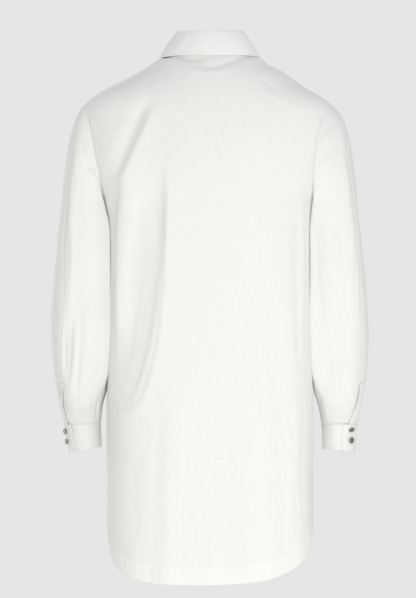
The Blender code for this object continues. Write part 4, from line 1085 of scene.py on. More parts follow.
# Creases of the sleeves, in the same way.
sleeveCreases = {
    ("left", "back"): (
        (((213, -172), (203, -184), (193, -193), (187, -197)), -4.4, 5, 7, 0.5),
        (((216, -152), (206, -166), (196, -176), (189, -183)), 2.7, 8, 6, 0.3),
        (((208, -196), (199, -202), (190, -206)), 1.7, 6, 8, 0.3),
        (((221, -105), (228, -180), (236, -260), (241, -340)), 3.6, 18, 10, 0.2),
        (((244, -230), (251, -300), (256, -390), (258, -450)), 1.6, 7, 7, 0.3),
        (((232, -250), (233, -330), (236, -400), (240, -470)), 1.7, 9, 8, 0.2),
        (((206, -230), (205, -310), (206, -390)), 1.2, 12, 12, 0),
        (((192, -300), (193, -380), (196, -450), (199, -520)), -1.4, 9, 11, 0.1),
        (((217, -400), (219, -470), (223, -530), (226, -598)), -2.7, 6, 8, 0.3),
        (((226, -430), (230, -490), (234, -540), (238, -580)), 2.5, 7, 6, 0.3),
        (((189, -570), (190, -586), (192, -602), (193, -618)), -2.7, 4, 5, 0.4),
        (((204, -560), (206, -585), (208, -612)), 1.3, 6, 6, 0.3),
        (((247, -462), (247, -500), (246, -540)), -2.5, 5, 4, 0.4),
        (((222, -560), (218, -590), (214, -616)), 1.2, 5, 6, 0.3),
    ),
    ("left", "front"): (
        (((208, -190), (214, -250), (220, -330)), -1.6, 9, 11, 0.2),
        (((196, -210), (200, -280), (204, -370), (210, -450)), 1.3, 10, 9, 0.2),
        (((240, -300), (242, -380), (238, -470), (230, -560)), -1.4, 9, 10, 0.2),
        (((222, -390), (218, -450), (210, -510)), 1.3, 9, 8, 0.2),
        (((198, -500), (206, -545), (212, -606)), -1.4, 7, 8, 0.3),
        (((232, -520), (226, -570), (222, -614)), 1.1, 7, 7, 0.3),
    ),
    ("right", "back"): (
        (((-175, -162), (-188, -148), (-202, -130), (-214, -116)), 3.7, 7, 8, 0.5),
        (((-177, -184), (-190, -172), (-204, -156), (-214, -142)), -2.5, 7, 8, 0.3),
        (((-176, -122), (-182, -112), (-189, -104)), 2.5, 5, 5, 0.4),
        (((-207, -292), (-210, -303), (-213, -312)), -3.1, 4, 4, 0.5),
        (((-175, -270), (-180, -310), (-181, -365), (-187, -408), (-196, -462)), -3.4, 8, 7, 0.4),
        (((-194, -240), (-197, -310), (-201, -380), (-207, -440)), 1.6, 10, 8, 0.2),
        (((-240, -230), (-246, -300), (-251, -380), (-252, -460)), 1.6, 5, 7, 0.3),
        (((-217, -105), (-229, -190), (-239, -280), (-244, -400)), 3.2, 9, 18, 0.2),
        (((-196, -205), (-210, -190), (-222, -170)), -2.6, 14, 12, 0.1),
        (((-216, -380), (-220, -450), (-222, -520), (-222, -590)), 1.4, 8, 9, 0.2),
        (((-200, -500), (-203, -545), (-206, -590)), -1.8, 7, 6, 0.3),
        (((-233, -500), (-236, -540), (-236, -575)), -1.6, 6, 6, 0.3),
        (((-192, -570), (-196, -595), (-200, -618)), 1.4, 5, 6, 0.3),
    ),
    ("right", "front"): (
        (((-206, -180), (-214, -240), (-222, -330)), -1.6, 11, 9, 0.2),
        (((-196, -230), (-202, -300), (-206, -380), (-210, -460)), 1.2, 9, 10, 0.2),
        (((-242, -310), (-243, -390), (-238, -480), (-232, -570)), -1.3, 10, 9, 0.2),
        (((-224, -400), (-219, -460), (-212, -530)), 1.3, 8, 9, 0.2),
        (((-200, -490), (-208, -550), (-214, -608)), -1.3, 8, 7, 0.3),
        (((-234, -520), (-229, -570), (-226, -612)), 1, 7, 7, 0.3),
    ),
}
lookup = {}


def onSleeve(side, face, path):
    if (side, face) not in lookup:
        low, high = (0, 180) if face == "back" else (-180, 0)
        turn, share = np.meshgrid(np.radians(np.linspace(low, high, 240)), np.linspace(0.01, 2, 300))
        lookup[side, face] = turn, share, sleeveBase(side, turn, share)
    turn, share, places = lookup[side, face]
    found = []
    for x, z in np.array(path) * mm:
        k = np.argmin((places[..., 0] - x) ** 2 + (places[..., 2] - z) ** 2)
        found.append((turn.flat[k], share.flat[k]))
    line = smoothPath(found)
    return sleeveBase(side, line[:, 0], line[:, 1])


def sleeveLift(side, base, out):
    seed = 81 if side == "left" else 83
    lift = sleeve["swell"] * wander(base * [1, 1, 0.5], sleeve["size"], seed)
    lift = lift + sleeve["ripple"] * wander(base * [1, 1, 0.6], sleeve["rippleSize"], 85)
    for (which, face), creases in sleeveCreases.items():
        if which == side:
            for path, *crease in creases:
                lift = lift + creaseLift(base, out, onSleeve(side, face, path), *crease)
    return lift


def sleevePiece(side, part, material):
    cap = np.linspace(0, 1, sleeve["capRows"] + 1) ** 1.1
    arm = np.linspace(1, 2, sleeve["armRows"] + 1)
    shares = np.concatenate([cap, arm[1:]])
    end = math.pi if part == "back" else -math.pi
    start = seamTurn(side, shares)
    turn = start[:, None] + (end - start[:, None]) * np.linspace(0, 1, sleeve["columns"][part])[None, :]
    share = np.broadcast_to(shares[:, None], turn.shape)
    base = sleeveBase(side, turn, share)
    size = sleeveCurves[side]
    level = np.clip(base[..., 2], cuffTop, sleeve["topRing"])
    across = sign[side] * (size["outer"](level) + size["inner"](level)) / 2
    middle = points(across, 0, base[..., 2] - 0.02)
    out = outsOf(base, base - middle)
    fade = soft(share * 5) * soft((2 - share) * 14 + 0.15)
    lift = sleeveFoldLift(side, turn, base[..., 2]) * soft((share - 0.9) * 4)
    lift = lift + sleeveLift(side, base, out) * fade
    seed = 91 + 10 * (side == "right") + 4 * (part == "back")
    for edge, (dip, pucker, length, _) in sleeve["seams"].items():
        lift = lift + seamLift(base, edge, dip * mm, pucker * mm, length * mm, seed=seed)
    face = base + out * lift[..., None]
    if part == "front":  # the vent gapes above the strip
        count = sleeve["gapeColumns"]
        gape = hump((share[:, :count] - sleeve["gapeAt"]) / sleeve["gapeReach"]) * np.linspace(1, 0, count)
        gape = gape * sleeve["gape"][side] * mm
        face[:, :count] += unit(face[:, count : count + 1] - face[:, :1]) * gape[..., None]
    gaps = [(edge, -under * mm) for edge, (*_, under) in sleeve["seams"].items()]
    name = "sleeve" + side.capitalize() + part.capitalize()
    return shell(name, face, out, sleeve["thick"], material, gaps)


strips = {
    "top": -0.553,
    "width": 0.0125,
    "behind": 0.0020,
    "above": 0.0010,
    "thick": 1.0 * mm,
    "rows": 44,
    "columns": 15,
    "stitch": 0.0022,
    "groove": 0.22 * mm,
    "grooveWide": 0.0012,
    "armMiddle": 0.218,
    "open": {"left": 7.0, "right": 1.5},  # how far its free edge stands off, in millimetres
    "openAt": 1.86,
    "openReach": 0.10,
    "free": 0.45,  # share of the width past which it stands off
    "creased": 0.6,  # how much of the sleeve's creases it takes on
}


def strip(side, material):
    heights = np.linspace(strips["top"], cuffTop + cut["seamGap"], strips["rows"])
    shares = 1 + (heights - sleeve["topRing"]) / (cuffTop - sleeve["topRing"])
    seam = seamTurn(side, shares)
    around = armRing(side, seam + 0.01, heights) - armRing(side, seam - 0.01, heights)
    turnFor = 0.02 / np.linalg.norm(around, axis=-1)
    start = seam - strips["behind"] * turnFor
    across = np.linspace(0, 1, strips["columns"])
    turn = start[:, None] + (strips["width"] * turnFor)[:, None] * across
    share = np.broadcast_to(shares[:, None], turn.shape)
    base = sleeveBase(side, turn, share)
    middle = points(sign[side] * strips["armMiddle"], 0, base[..., 2])
    out = outsOf(base, base - middle)
    lift = sleeveFoldLift(side, turn, base[..., 2]) + strips["above"] + strips["thick"]
    lift = lift + sleeveLift(side, base, out) * soft((2 - share) * 14 + 0.15) * strips["creased"]
    opens = hump((share - strips["openAt"]) / strips["openReach"]) * soft((across - strips["free"]) / 0.5)
    lift = lift + strips["open"][side] * mm * opens
    lift = lift - groove(strips, nearestEdge(base, "firstColumn", "lastColumn"))
    face = base + out * lift[..., None]
    return shell("sleeveStrip" + side.capitalize(), face, out, strips["thick"], material)


# The cuffs.
cuffs = {
    "height": 0.0435,
    "lap": math.radians(36),
    "shallower": 0.0015,
    "step": 0.0022,
    "stepTurn": math.radians(34),
    "thick": 1.5 * mm,
    "columns": 150,
    "rows": 30,
    "stitch": 0.0055,
    "groove": 0.25 * mm,
    "grooveWide": 0.0016,
    "swell": 0.30 * mm,
    "size": 0.022,
    "left": {"topX": 0.2162, "topHalf": 0.0303, "endX": 0.2115, "endHalf": 0.0272, "middle": -0.0245,
             "deep": 0.0375, "fall": 0.0110, "edge": 50},
    "right": {"topX": -0.2202, "topHalf": 0.0303, "endX": -0.2192, "endHalf": 0.0285, "middle": -0.0240,
              "deep": 0.0370, "fall": 0.0040, "edge": 80},
}


def cuffSurface(side, turn, drop):
    one = cuffs[side]
    share = drop / cuffs["height"]
    middle = one["topX"] + (one["endX"] - one["topX"]) * share
    half = one["topHalf"] + (one["endHalf"] - one["topHalf"]) * share
    lapStart = math.radians(one["edge"]) + 2 * math.pi - cuffs["lap"]
    step = cuffs["step"] * soft((turn - lapStart + cuffs["stepTurn"]) / cuffs["stepTurn"])
    x = middle + sign[side] * (half + step) * np.cos(turn)
    y = one["middle"] + (one["deep"] - cuffs["shallower"] * share + step) * np.sin(turn)
    z = cuffTop - cut["seamGap"] - drop - 0.5 * one["fall"] * share * np.cos(turn)
    return points(x, y, z)


def cuff(side, material):
    edge = math.radians(cuffs[side]["edge"])
    turns = np.linspace(edge - cuffs["lap"], edge + 2 * math.pi, cuffs["columns"])
    turn, drop = np.meshgrid(turns, np.linspace(0, cuffs["height"], cuffs["rows"]))
    base = cuffSurface(side, turn, drop)
    middle = points(cuffs[side]["topX"], cuffs[side]["middle"], base[..., 2])
    out = outsOf(base, base - middle)
    lift = cuffs["swell"] * wander(base, cuffs["size"], 121 if side == "left" else 123)
    lift = lift - groove(cuffs, nearestEdge(base, "last", "first", "lastColumn"))
    lift = lift * soft((edge + 2 * math.pi - cuffs["lap"] - turn) * 6 + 1.2)
    face = base + out * lift[..., None]
    return shell("cuff" + side.capitalize(), face, out, cuffs["thick"], material)


# Stitches: small threads laid along lines that are read off the finished faces.
thread = {
    "pitch": 2.7 * mm,
    "stripPitch": 2.3 * mm,
    "armholePitch": 2.5 * mm,
    "armholeAway": 7.0 * mm,
    "long": 2.1 * mm,
    "wide": 0.34 * mm,
    "high": 0.14 * mm,
    "slant": 0.02,
    "sides": 6,
    # rings of a thread: share of its length, size, how far it is raised, flatness
    "rings": ((-0.5, 0.35, -0.6, 1), (-0.34, 1.0, 0.25, 0.7), (0.34, 1.0, 0.25, 0.7), (0.5, 0.35, -0.6, 1)),
}


def tube(rings, sides):  # the faces between rings of corners
    steps = [(row * sides, k, (k + 1) % sides) for row in range(rings - 1) for k in range(sides)]
    return [(row + k, row + after, row + sides + after, row + sides + k) for row, k, after in steps]


def lineFromEdge(face, out, edge, away, trim):
    distance = edgeRuns(face, edge)
    if "Column" not in edge:
        face, out, distance = face.transpose(1, 0, 2), out.transpose(1, 0, 2), distance.T
    line, normal = [], []
    for places, outs, far in zip(face, out, distance):
        order = np.argsort(far)
        if far[order[-1]] >= away:
            line.append(placesAt(away, far[order], places[order]))
            normal.append(placesAt(away, far[order], outs[order]))
    line, normal = np.array(line), np.array(normal)
    run = lengthAlong(line)
    keep = (run >= trim[0] * mm) & (run <= run[-1] - trim[1] * mm)
    return line[keep], normal[keep]


def linesFromEdges(cloths, edges, away, trim=(0, 0)):  # trim: millimetres left free at the two ends
    return [lineFromEdge(*one, edge, away, trim) for one in cloths for edge in edges]


def evenly(line, normal, pitch):
    run = lengthAlong(line)
    at = np.arange(pitch / 2, run[-1] - pitch / 2, pitch)
    ahead, behind = (placesAt(at + share * pitch, run, line) for share in (0.3, -0.3))
    return placesAt(at, run, line), unit(ahead - behind), unit(placesAt(at, run, normal))


def threads(name, place, along, out, material, long=thread["long"], wide=thread["wide"]):
    side = unit(np.cross(out, along))
    up = np.cross(along, side)
    sides, corners = thread["sides"], []
    for share, size, lift, flat in thread["rings"]:
        for k in range(sides):
            angle = 2 * math.pi * k / sides
            offset = side * math.cos(angle) * size + up * (math.sin(angle) * size + lift) * flat
            corners.append(place + along * (share * long) + offset * wide / 2)
    count = len(corners)
    first = np.arange(len(place))[:, None] * count
    quads = np.array(tube(len(thread["rings"]), sides)) + first[..., None]
    ends = [first + np.arange(sides), first + count - 1 - np.arange(sides)]
    faces = quads.reshape(-1, 4).tolist() + np.concatenate(ends).tolist()
    mesh = newMesh(name, np.stack(corners, axis=1).reshape(-1, 3).tolist(), faces, material)
    dress(inScene(name, mesh), "poplin")


def stitchLines(name, lines, material, pitch=thread["pitch"]):
    place, along, out = (np.concatenate(parts) for parts in zip(*[evenly(*line, pitch) for line in lines]))
    place = place + out * thread["high"]
    along = unit(along + out * uneven.normal(0, thread["slant"], (len(place), 1)))
    threads(name, place, along, out, material)


# A buttonhole: two close rows of short threads, and a bar at each end.
buttonhole = {
    "long": 13.0 * mm,
    "wide": 2.6 * mm,
    "pitch": 0.55 * mm,
    "thread": 0.45 * mm,
    "threadLong": 0.55,  # share of the width, as the next one
    "rowAway": 0.28,
    "rowHigh": 0.20 * mm,
    "barSteps": (-0.3 * mm, 0.0, 0.3 * mm),
    "barHigh": 0.28 * mm,
}


def buttonholes(name, holes, material):
    places, alongs, outs = [], [], []
    long, wide = buttonhole["long"], buttonhole["wide"]
    steps = np.arange(-0.5, 0.5001, buttonhole["pitch"] / long) * long
    for middle, run, out in holes:
        run, out = unit(np.array(run)), unit(np.array(out))
        across = np.cross(out, run)
        row, bar = out * buttonhole["rowHigh"], out * buttonhole["barHigh"]
        aside = across * wide * buttonhole["rowAway"]
        found = [middle + run * step + aside * half + row for half in (-1, 1) for step in steps]
        found += [middle + run * (end * long * 0.5 + step) + bar
                  for end in (-1, 1) for step in buttonhole["barSteps"]]
        places += found
        alongs += [across] * len(found)
        outs += [out] * len(found)
    places, alongs, outs = np.array(places), np.array(alongs), np.array(outs)
    threads(name, places, alongs, outs, material, wide * buttonhole["threadLong"], buttonhole["thread"])


# Buttons: domed metal with a raised rim, on a short stem. The profile is in millimetres.
button = {
    "sides": 48,
    "seat": 0.3 * mm,
    "profile": (
        (0.0, 3.25), (1.2, 3.22), (2.3, 3.13), (3.1, 3.00), (3.6, 2.92), (3.85, 2.98), (4.05, 3.25),
        (4.35, 3.50), (4.65, 3.58), (4.95, 3.48), (5.18, 3.22), (5.28, 2.90), (5.24, 2.55), (5.05, 2.15),
        (4.7, 1.85), (4.2, 1.70), (2.4, 1.62), (2.0, 1.45), (1.9, 0.9), (1.9, 0.05), (0.0, 0.0),
    ),
}


def buttonMesh(material):
    sides, (top, *rings, bottom) = button["sides"], button["profile"]
    turns = [2 * math.pi * k / sides for k in range(sides)]
    corners = [(r * mm * math.cos(turn), r * mm * math.sin(turn), h * mm) for r, h in rings for turn in turns]
    count = len(corners)
    corners += [(0, 0, top[1] * mm), (0, 0, bottom[1] * mm)]
    faces = [(a, d, c, b) for a, b, c, d in tube(len(rings), sides)]
    faces += [(k, (k + 1) % sides, count) for k in range(sides)]
    faces += [(count - sides + (k + 1) % sides, count - sides + k, count + 1) for k in range(sides)]
    return newMesh("button", corners, faces, material)


def sewButton(node, mesh, place, out, seat=button["seat"], hang=(0, 0, 0)):
    out = Vector(out).normalized()
    piece = inScene(node + "_metal", mesh)
    piece.location = Vector(place) + out * seat
    piece.rotation_euler = (out + Vector(hang)).to_track_quat("Z", "Y").to_euler()
    dress(piece, "button_metal", node)


# Finishes. Each effect is a node group that gives a height or a tone.
def fill(tree, made, values):  # each value is a number, a colour or another node's socket
    for socket, value in values.items():
        if isinstance(value, bpy.types.NodeSocket):
            tree.links.new(value, made.inputs[socket])
        else:
            made.inputs[socket].default_value = value
    return made


def group(name, inputs, outputs):
    tree = bpy.data.node_groups.new(name, "ShaderNodeTree")
    for socket, default in inputs.items():
        made = tree.interface.new_socket(socket, in_out="INPUT", socket_type="NodeSocketFloat")
        made.default_value = default
    for socket in outputs:
        tree.interface.new_socket(socket, in_out="OUTPUT", socket_type="NodeSocketFloat")
    return tree, tree.nodes.new("NodeGroupInput"), tree.nodes.new("NodeGroupOutput")


def maths(tree, operation, *values, clamp=False):
    made = tree.nodes.new("ShaderNodeMath")
    made.operation, made.use_clamp = operation, clamp
    return fill(tree, made, dict(enumerate(values))).outputs[0]


def stretched(tree, source, across, along, deep=1):
    made = tree.nodes.new("ShaderNodeMapping")
    return fill(tree, made, {"Vector": source, "Scale": (across, along, deep)}).outputs[0]


def noise(tree, source, scale, detail=2.0, rough=0.5):
    made = tree.nodes.new("ShaderNodeTexNoise")
    values = {"Vector": source, "Scale": scale, "Detail": detail, "Roughness": rough}
    return fill(tree, made, values).outputs[0]


def threadWave(tree, source, direction, threadsPerMetre):
    made = tree.nodes.new("ShaderNodeTexWave")
    made.wave_type, made.bands_direction = "BANDS", direction
    scale = threadsPerMetre / 3.1831  # the texture repeats every pi / 10 units
    return fill(tree, made, {"Vector": source, "Scale": scale, "Distortion": 0.4}).outputs["Fac"]


def toned(tree, low, high, share):
    made = tree.nodes.new("ShaderNodeMix")
    made.data_type = "RGBA"
    return fill(tree, made, {"A": (*low, 1), "B": (*high, 1), "Factor": share}).outputs["Result"]


def bumped(tree, height, distance=1.0):
    made = tree.nodes.new("ShaderNodeBump")
    return fill(tree, made, {"Height": height, "Strength": 1.0, "Distance": distance}).outputs["Normal"]


def clothUv(tree):
    made = tree.nodes.new("ShaderNodeUVMap")
    made.uv_map = "cloth"
    return made.outputs[0]


def inside(tree):
    return tree.nodes.new("ShaderNodeTexCoord").outputs["Object"]


def makeWeave():
    tree, given, result = group("plainWeave", {"Tightness": 1.0}, ("Height",))
    cloth = clothUv(tree)
    across, down = (maths(tree, "SUBTRACT", threadWave(tree, cloth, axis, 1900), 0.5) for axis in "XY")
    crossed = maths(tree, "MULTIPLY", maths(tree, "MULTIPLY", across, down), 4.0)
    fill(tree, result, {"Height": maths(tree, "MULTIPLY", crossed, given.outputs["Tightness"])})
    return tree


def makeSlubs():
    tree, given, result = group("slubs", {"Contrast": 1.0}, ("Tone", "Height"))
    cloth = clothUv(tree)
    across = noise(tree, stretched(tree, cloth, 38, 430), 1.0, 3, 0.6)
    down = noise(tree, stretched(tree, cloth, 400, 32), 1.0, 3, 0.6)
    both = maths(tree, "SUBTRACT", maths(tree, "ADD", across, down), 1.0)
    both = maths(tree, "MULTIPLY", both, given.outputs["Contrast"])
    fill(tree, result, {"Tone": maths(tree, "ADD", both, 0.5, clamp=True), "Height": both})
    return tree


def makeCrumple():
    tree, given, result = group("softCrumple", {"Size": 40.0}, ("Height",))
    size = given.outputs["Size"]
    broad = noise(tree, inside(tree), size, 2, 0.45)
    squashed = stretched(tree, inside(tree), 1, 1, clothDrape["squash"])
    fine = noise(tree, squashed, maths(tree, "MULTIPLY", size, 2.7), 2, 0.5)
    total = maths(tree, "MULTIPLY_ADD", fine, 0.4, broad)
    fill(tree, result, {"Height": maths(tree, "SUBTRACT", total, 0.7)})
    return tree


groups = {"weave": makeWeave(), "slubs": makeSlubs(), "crumple": makeCrumple()}


def effect(tree, name, values):
    made = tree.nodes.new("ShaderNodeGroup")
    made.node_tree = groups[name]
    return fill(tree, made, values).outputs


def newMaterial(name):
    material = bpy.data.materials.new(name)
    material.use_nodes = True
    return material, material.node_tree, material.node_tree.nodes["Principled BSDF"]


clothLooks = {
    "poplin": {
        "low": (0.860, 0.859, 0.843),
        "high": (0.922, 0.921, 0.906),
        "rough": 0.86,
        "slubs": 1.0,
        "crumple": 0.55 * mm,
        "hem": True,
    },
    "interlinedPoplin": {
        "low": (0.870, 0.869, 0.858),
        "high": (0.935, 0.934, 0.924),
        "rough": 0.82,
        "slubs": 0.8,
        "crumple": 0.275 * mm,
        "hem": False,
    },
    "smoother": -0.08,  # how the roughness falls on the light slubs
    "crumpleSize": 38.0,
    "weaveHeight": 0.05 * mm,
    "slubHeight": 0.07 * mm,
    "hemFrom": 0.034,
    "hemFull": 0.020,
    "hemTone": 0.8,  # the turned hem's doubled cloth is whiter
    "hemHeight": 0.8 * mm,
    "sheen": 0.12,
    "sheenRough": 0.5,
    "specular": 0.25,
}


def clothMaterial(name):
    look = clothLooks[name]
    material, tree, shader = newMaterial(name)
    slubs = effect(tree, "slubs", {"Contrast": look["slubs"]})
    crumple = effect(tree, "crumple", {"Size": clothLooks["crumpleSize"]})
    height = maths(tree, "MULTIPLY", effect(tree, "weave", {})["Height"], clothLooks["weaveHeight"])
    height = maths(tree, "MULTIPLY_ADD", slubs["Height"], clothLooks["slubHeight"], height)
    height = maths(tree, "MULTIPLY_ADD", crumple["Height"], look["crumple"], height)
    share = slubs["Tone"]
    if look["hem"]:  # fine puckers on the turned hem
        away = tree.nodes.new("ShaderNodeAttribute")
        away.attribute_name = "fromHem"
        mask = tree.nodes.new("ShaderNodeMapRange")
        mask.interpolation_type = "SMOOTHSTEP"
        ends = {"From Min": clothLooks["hemFrom"], "From Max": clothLooks["hemFull"]}
        turned = fill(tree, mask, {"Value": away.outputs["Fac"], **ends}).outputs[0]
        share = maths(tree, "MULTIPLY_ADD", turned, clothLooks["hemTone"], share)
        puckers = noise(tree, stretched(tree, clothUv(tree), 260, 26), 1.0)
        puckers = maths(tree, "MULTIPLY", puckers, turned)
        height = maths(tree, "MULTIPLY_ADD", puckers, clothLooks["hemHeight"], height)
    fill(tree, shader, {
        "Base Color": toned(tree, look["low"], look["high"], share),
        "Roughness": maths(tree, "MULTIPLY_ADD", slubs["Tone"], clothLooks["smoother"], look["rough"]),
        "Normal": bumped(tree, height),
        "Sheen Weight": clothLooks["sheen"],
        "Sheen Roughness": clothLooks["sheenRough"],
        "Specular IOR Level": clothLooks["specular"],
    })
    return material


threadLook = {
    "low": (0.86, 0.86, 0.85),
    "high": (0.93, 0.93, 0.925),
    "toneSize": 900,
    "twistSize": 2600,
    "twistHeight": 0.06 * mm,
    "rough": 0.62,
    "sheen": 0.2,
}


def threadMaterial():
    material, tree, shader = newMaterial("cottonThread")
    unevenTone = noise(tree, inside(tree), threadLook["toneSize"])
    twist = noise(tree, inside(tree), threadLook["twistSize"], 1)
    fill(tree, shader, {
        "Base Color": toned(tree, threadLook["low"], threadLook["high"], unevenTone),
        "Normal": bumped(tree, twist, threadLook["twistHeight"]),
        "Roughness": threadLook["rough"],
        "Sheen Weight": threadLook["sheen"],
    })
    return material


metalLook = {
    "low": (0.16, 0.13, 0.10),
    "high": (0.42, 0.37, 0.31),
    "wornSize": 700,
    "dentSize": 420,
    "dentHeight": 0.05 * mm,
    "rough": 0.18,
    "wornRough": 0.22,
}


def metalMaterial():
    material, tree, shader = newMaterial("darkSilver")
    worn = noise(tree, inside(tree), metalLook["wornSize"], 4, 0.6)
    dents = noise(tree, inside(tree), metalLook["dentSize"], 3)
    fill(tree, shader, {
        "Base Color": toned(tree, metalLook["low"], metalLook["high"], worn),
        "Roughness": maths(tree, "MULTIPLY_ADD", worn, metalLook["wornRough"], metalLook["rough"]),
        "Normal": bumped(tree, dents, metalLook["dentHeight"]),
        "Metallic": 1.0,
    })
    return material


poplin = clothMaterial("poplin")
crispPoplin = clothMaterial("interlinedPoplin")
cotton = threadMaterial()
metal = metalMaterial()
print("finishes ready")


# The blouse, piece by piece: width, length and area of each cut in metres, then its slot and its node.
pieces = {
    "backPanel": (0.600, 0.950, 0.430, "poplin", "back"),
    "frontPanelLeft": (0.300, 0.940, 0.216, "poplin", "front_left"),
    "frontPanelRight": (0.280, 0.930, 0.194, "poplin", "front_right"),
    "frontBand": (0.032, 0.835, None, "interlined_poplin", "front_placket"),
    "collarStand": (0.440, 0.032, 0.0115, "interlined_poplin", "collar_stand"),
    "collarFall": (0.500, 0.064, 0.0240, "interlined_poplin", "collar_fall"),
    "sleeveLeftFront": (0.270, 0.575, 0.108, "poplin", "sleeve_left_front"),
    "sleeveLeftBack": (0.240, 0.570, 0.059, "poplin", "sleeve_left_back"),
    "sleeveRightFront": (0.280, 0.570, 0.107, "poplin", "sleeve_right_front"),
    "sleeveRightBack": (0.255, 0.565, 0.064, "poplin", "sleeve_right_back"),
    "sleeveStripLeft": (0.013, 0.080, None, "interlined_poplin", "sleeve_placket_left"),
    "sleeveStripRight": (0.013, 0.080, None, "interlined_poplin", "sleeve_placket_right"),
    "cuffLeft": (0.240, 0.045, None, "interlined_poplin", "cuff_left"),
    "cuffRight": (0.240, 0.045, None, "interlined_poplin", "cuff_right"),
}


def cloth(piece, face, out):
    wide, long, area, slotName, node = pieces[piece.name]
    dress(piece, slotName, node)
    return face, out


backCloth = cloth(*backPanel(poplin))
leftCloth = cloth(*frontPanel("left", cut["underlapEnd"], poplin, underlap))
rightCloth = cloth(*frontPanel("right", -cut["plackHalf"], poplin))
bandCloth = cloth(*frontBand(crispPoplin))
standCloth = cloth(*collarStand(crispPoplin))
fallCloth = cloth(*collarFall(crispPoplin))
stripCloths, cuffCloths = [], []
for side in ("left", "right"):
    for part in ("front", "back"):
        cloth(*sleevePiece(side, part, poplin))
    stripCloths.append(cloth(*strip(side, crispPoplin)))
    cuffCloths.append(cloth(*cuff(side, crispPoplin)))
print("cloth made")

# Buttons and buttonholes.
domed = buttonMesh(metal)
cuffButtons = {
    "back": math.radians(28),
    "drops": (0.0105, 0.0260),
    "seats": {"button_cuff_right_1": 0.0016},
    "hangs": {"button_cuff_right_1": (0.75, 0.0, 0.75), "button_cuff_right_2": (-0.1, 0.0, -0.12)},
    "holeHigh": 0.1 * mm,
}
frontButtons = {"count": 8, "first": -0.092, "pitch": 0.086, "seat": 0.2 * mm, "collarHoleHigh": 0.3 * mm}
cuffHoles = []
for side in ("left", "right"):
    turn = math.radians(cuffs[side]["edge"]) + 2 * math.pi - cuffButtons["back"]
    for number, drop in enumerate(cuffButtons["drops"], 1):
        at, ahead, below = cuffSurface(side, turn + np.array([0, 0.01, 0]), drop + np.array([0, 0, 0.001]))
        out = unit(np.cross(ahead - at, below - at)) * -sign[side]
        name = f"button_cuff_{side}_{number}"
        seat = cuffButtons["seats"].get(name, button["seat"])
        sewButton(name, domed, at, out, seat, cuffButtons["hangs"].get(name, (0, 0, 0)))
        cuffHoles.append((at + out * cuffButtons["holeHigh"], ahead - at, out))
ends = np.array([neckTurnAt(-cut["plackHalf"]), neckTurnAt(cut["plackHalf"])])
foot, up, out = (part.mean(axis=0) for part in standFrame(ends))
collarAt = foot + up * collar["standFront"] * 0.5
sewButton("button_collar", domed, collarAt, out)
frontHoles = [(collarAt + unit(out) * frontButtons["collarHoleHigh"], np.cross(up, out), out)]
column = [part[::-1, band["columns"] // 2] for part in bandCloth]
for number in range(frontButtons["count"]):
    height = frontButtons["first"] - number * frontButtons["pitch"]
    at, out = (placesAt(height, column[0][:, 2], part) for part in column)
    sewButton(f"button_front_{number + 1}", domed, at, out, frontButtons["seat"])
    frontHoles.append((at, (0, 0, 1), out))
buttonholes("cuffButtonholes", cuffHoles, cotton)
buttonholes("frontButtonholes", frontHoles, cotton)
print("buttons sewn on")

# Stitch lines: how far in from an edge, then the ends left free.
both = ("firstColumn", "lastColumn")
fallBelow = [part[collar["rollRows"] + 2 :] for part in fallCloth]
armhole = np.s_[body["shoulderRows"] : body["shoulderRows"] + body["armholeRows"]]
backBeside = [part[armhole] for part in backCloth]
hemLines = linesFromEdges([backCloth, leftCloth, rightCloth], ["last"], hem["stitch"], (2, 2))
collarLines = (
    linesFromEdges([fallCloth], ["last"], collar["stitch"], (5, 5))
    + linesFromEdges([fallBelow], both, collar["stitch"], (2, 6))
    + linesFromEdges([standCloth], ["first"], collar["footStitch"], (2, 2))
)
cuffLines = linesFromEdges(cuffCloths, ["first", "last", "lastColumn"], cuffs["stitch"], (5, 5))
stitchLines("hemStitches", hemLines, cotton)
stitchLines("collarStitches", collarLines, cotton)
stitchLines("bandStitches", linesFromEdges([bandCloth], both, band["stitch"], (2, 3)), cotton)
stripLines = linesFromEdges(stripCloths, both, strips["stitch"], (2, 1))
stitchLines("stripStitches", stripLines, cotton, thread["stripPitch"])
stitchLines("cuffStitches", cuffLines, cotton)
armholeLines = linesFromEdges([backBeside], both, thread["armholeAway"])
stitchLines("armholeStitches", armholeLines, cotton, thread["armholePitch"])
print("stitched")


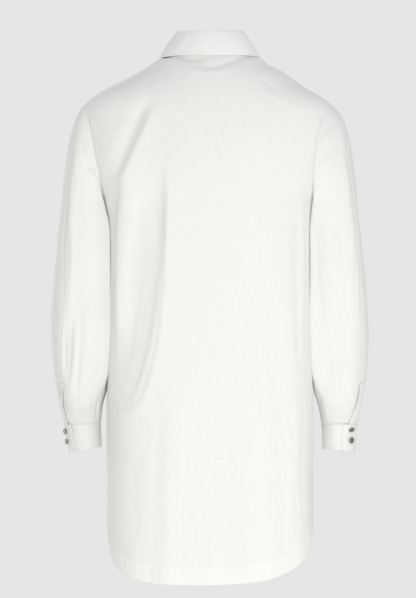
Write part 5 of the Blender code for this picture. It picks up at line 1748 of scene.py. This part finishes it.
# Room: a pale floor, even light all round, and three large soft lights. The strongest stands low at
# the blouse's back, where the camera is; the others stand at its right side and at its front.
studio = {
    "floor": {"radius": 9.0, "height": -1.45, "sides": 96, "colour": (0.81, 0.795, 0.765, 1), "rough": 0.9},
    "seen": 0.79,
    "around": 0.725,
    "aim": (0.0, 0.0, -0.42),
    "lamps": {
        "key": {"place": (-0.3, 2.8, -1.10), "size": 1.2, "watts": 29},
        "side": {"place": (-2.3, 2.2, -1.0), "size": 1.0, "watts": 6.5},
        "front": {"place": (1.6, -2.6, -0.4), "size": 1.6, "watts": 22},
    },
}

for name, one in studio["lamps"].items():
    light = bpy.data.lights.new(name, "AREA")
    light.shape, light.size, light.energy = "DISK", one["size"], one["watts"]
    lamp = inScene(name, light)
    lamp.location = one["place"]
    lamp.rotation_euler = (Vector(studio["aim"]) - Vector(one["place"])).to_track_quat("-Z", "Y").to_euler()
    lamp.visible_camera = False

ground = studio["floor"]
pale, paleTree, paleShader = newMaterial("paleFloor")
fill(paleTree, paleShader, {"Base Color": ground["colour"], "Roughness": ground["rough"]})
turns = [2 * math.pi * k / ground["sides"] for k in range(ground["sides"])]
rim = [(ground["radius"] * math.cos(turn), ground["radius"] * math.sin(turn), ground["height"])
       for turn in turns]
floor = inScene("floor", newMesh("floor", rim, [tuple(range(ground["sides"]))], pale))

world = bpy.data.worlds.new("studio")
bpy.context.scene.world = world
world.use_nodes = True
sky = world.node_tree
seen = sky.nodes.new("ShaderNodeLightPath").outputs["Is Camera Ray"]
strength = sky.nodes.new("ShaderNodeMapRange")
fill(sky, strength, {"Value": seen, "To Min": studio["around"], "To Max": studio["seen"]})
fill(sky, sky.nodes["Background"], {"Strength": strength.outputs[0], "Color": (1, 1, 1, 1)})
bpy.context.scene.view_settings.view_transform = "Standard"

# The camera looks at the blouse's back from far off, level with its middle.
view = {"distance": 16.0, "across": 0.0034, "height": -0.4097, "tall": 1.0166, "sensor": 36.0, "far": 200}
lens = bpy.data.cameras.new("camera")
lens.sensor_width, lens.sensor_fit = view["sensor"], "AUTO"
lens.lens = view["sensor"] * view["distance"] / view["tall"]
lens.clip_end = view["far"]
camera = inScene("camera", lens)
camera.location = (view["across"], view["distance"], view["height"])
camera.rotation_euler = (math.pi / 2, 0, math.pi)
bpy.context.scene.camera = camera
print("room ready")
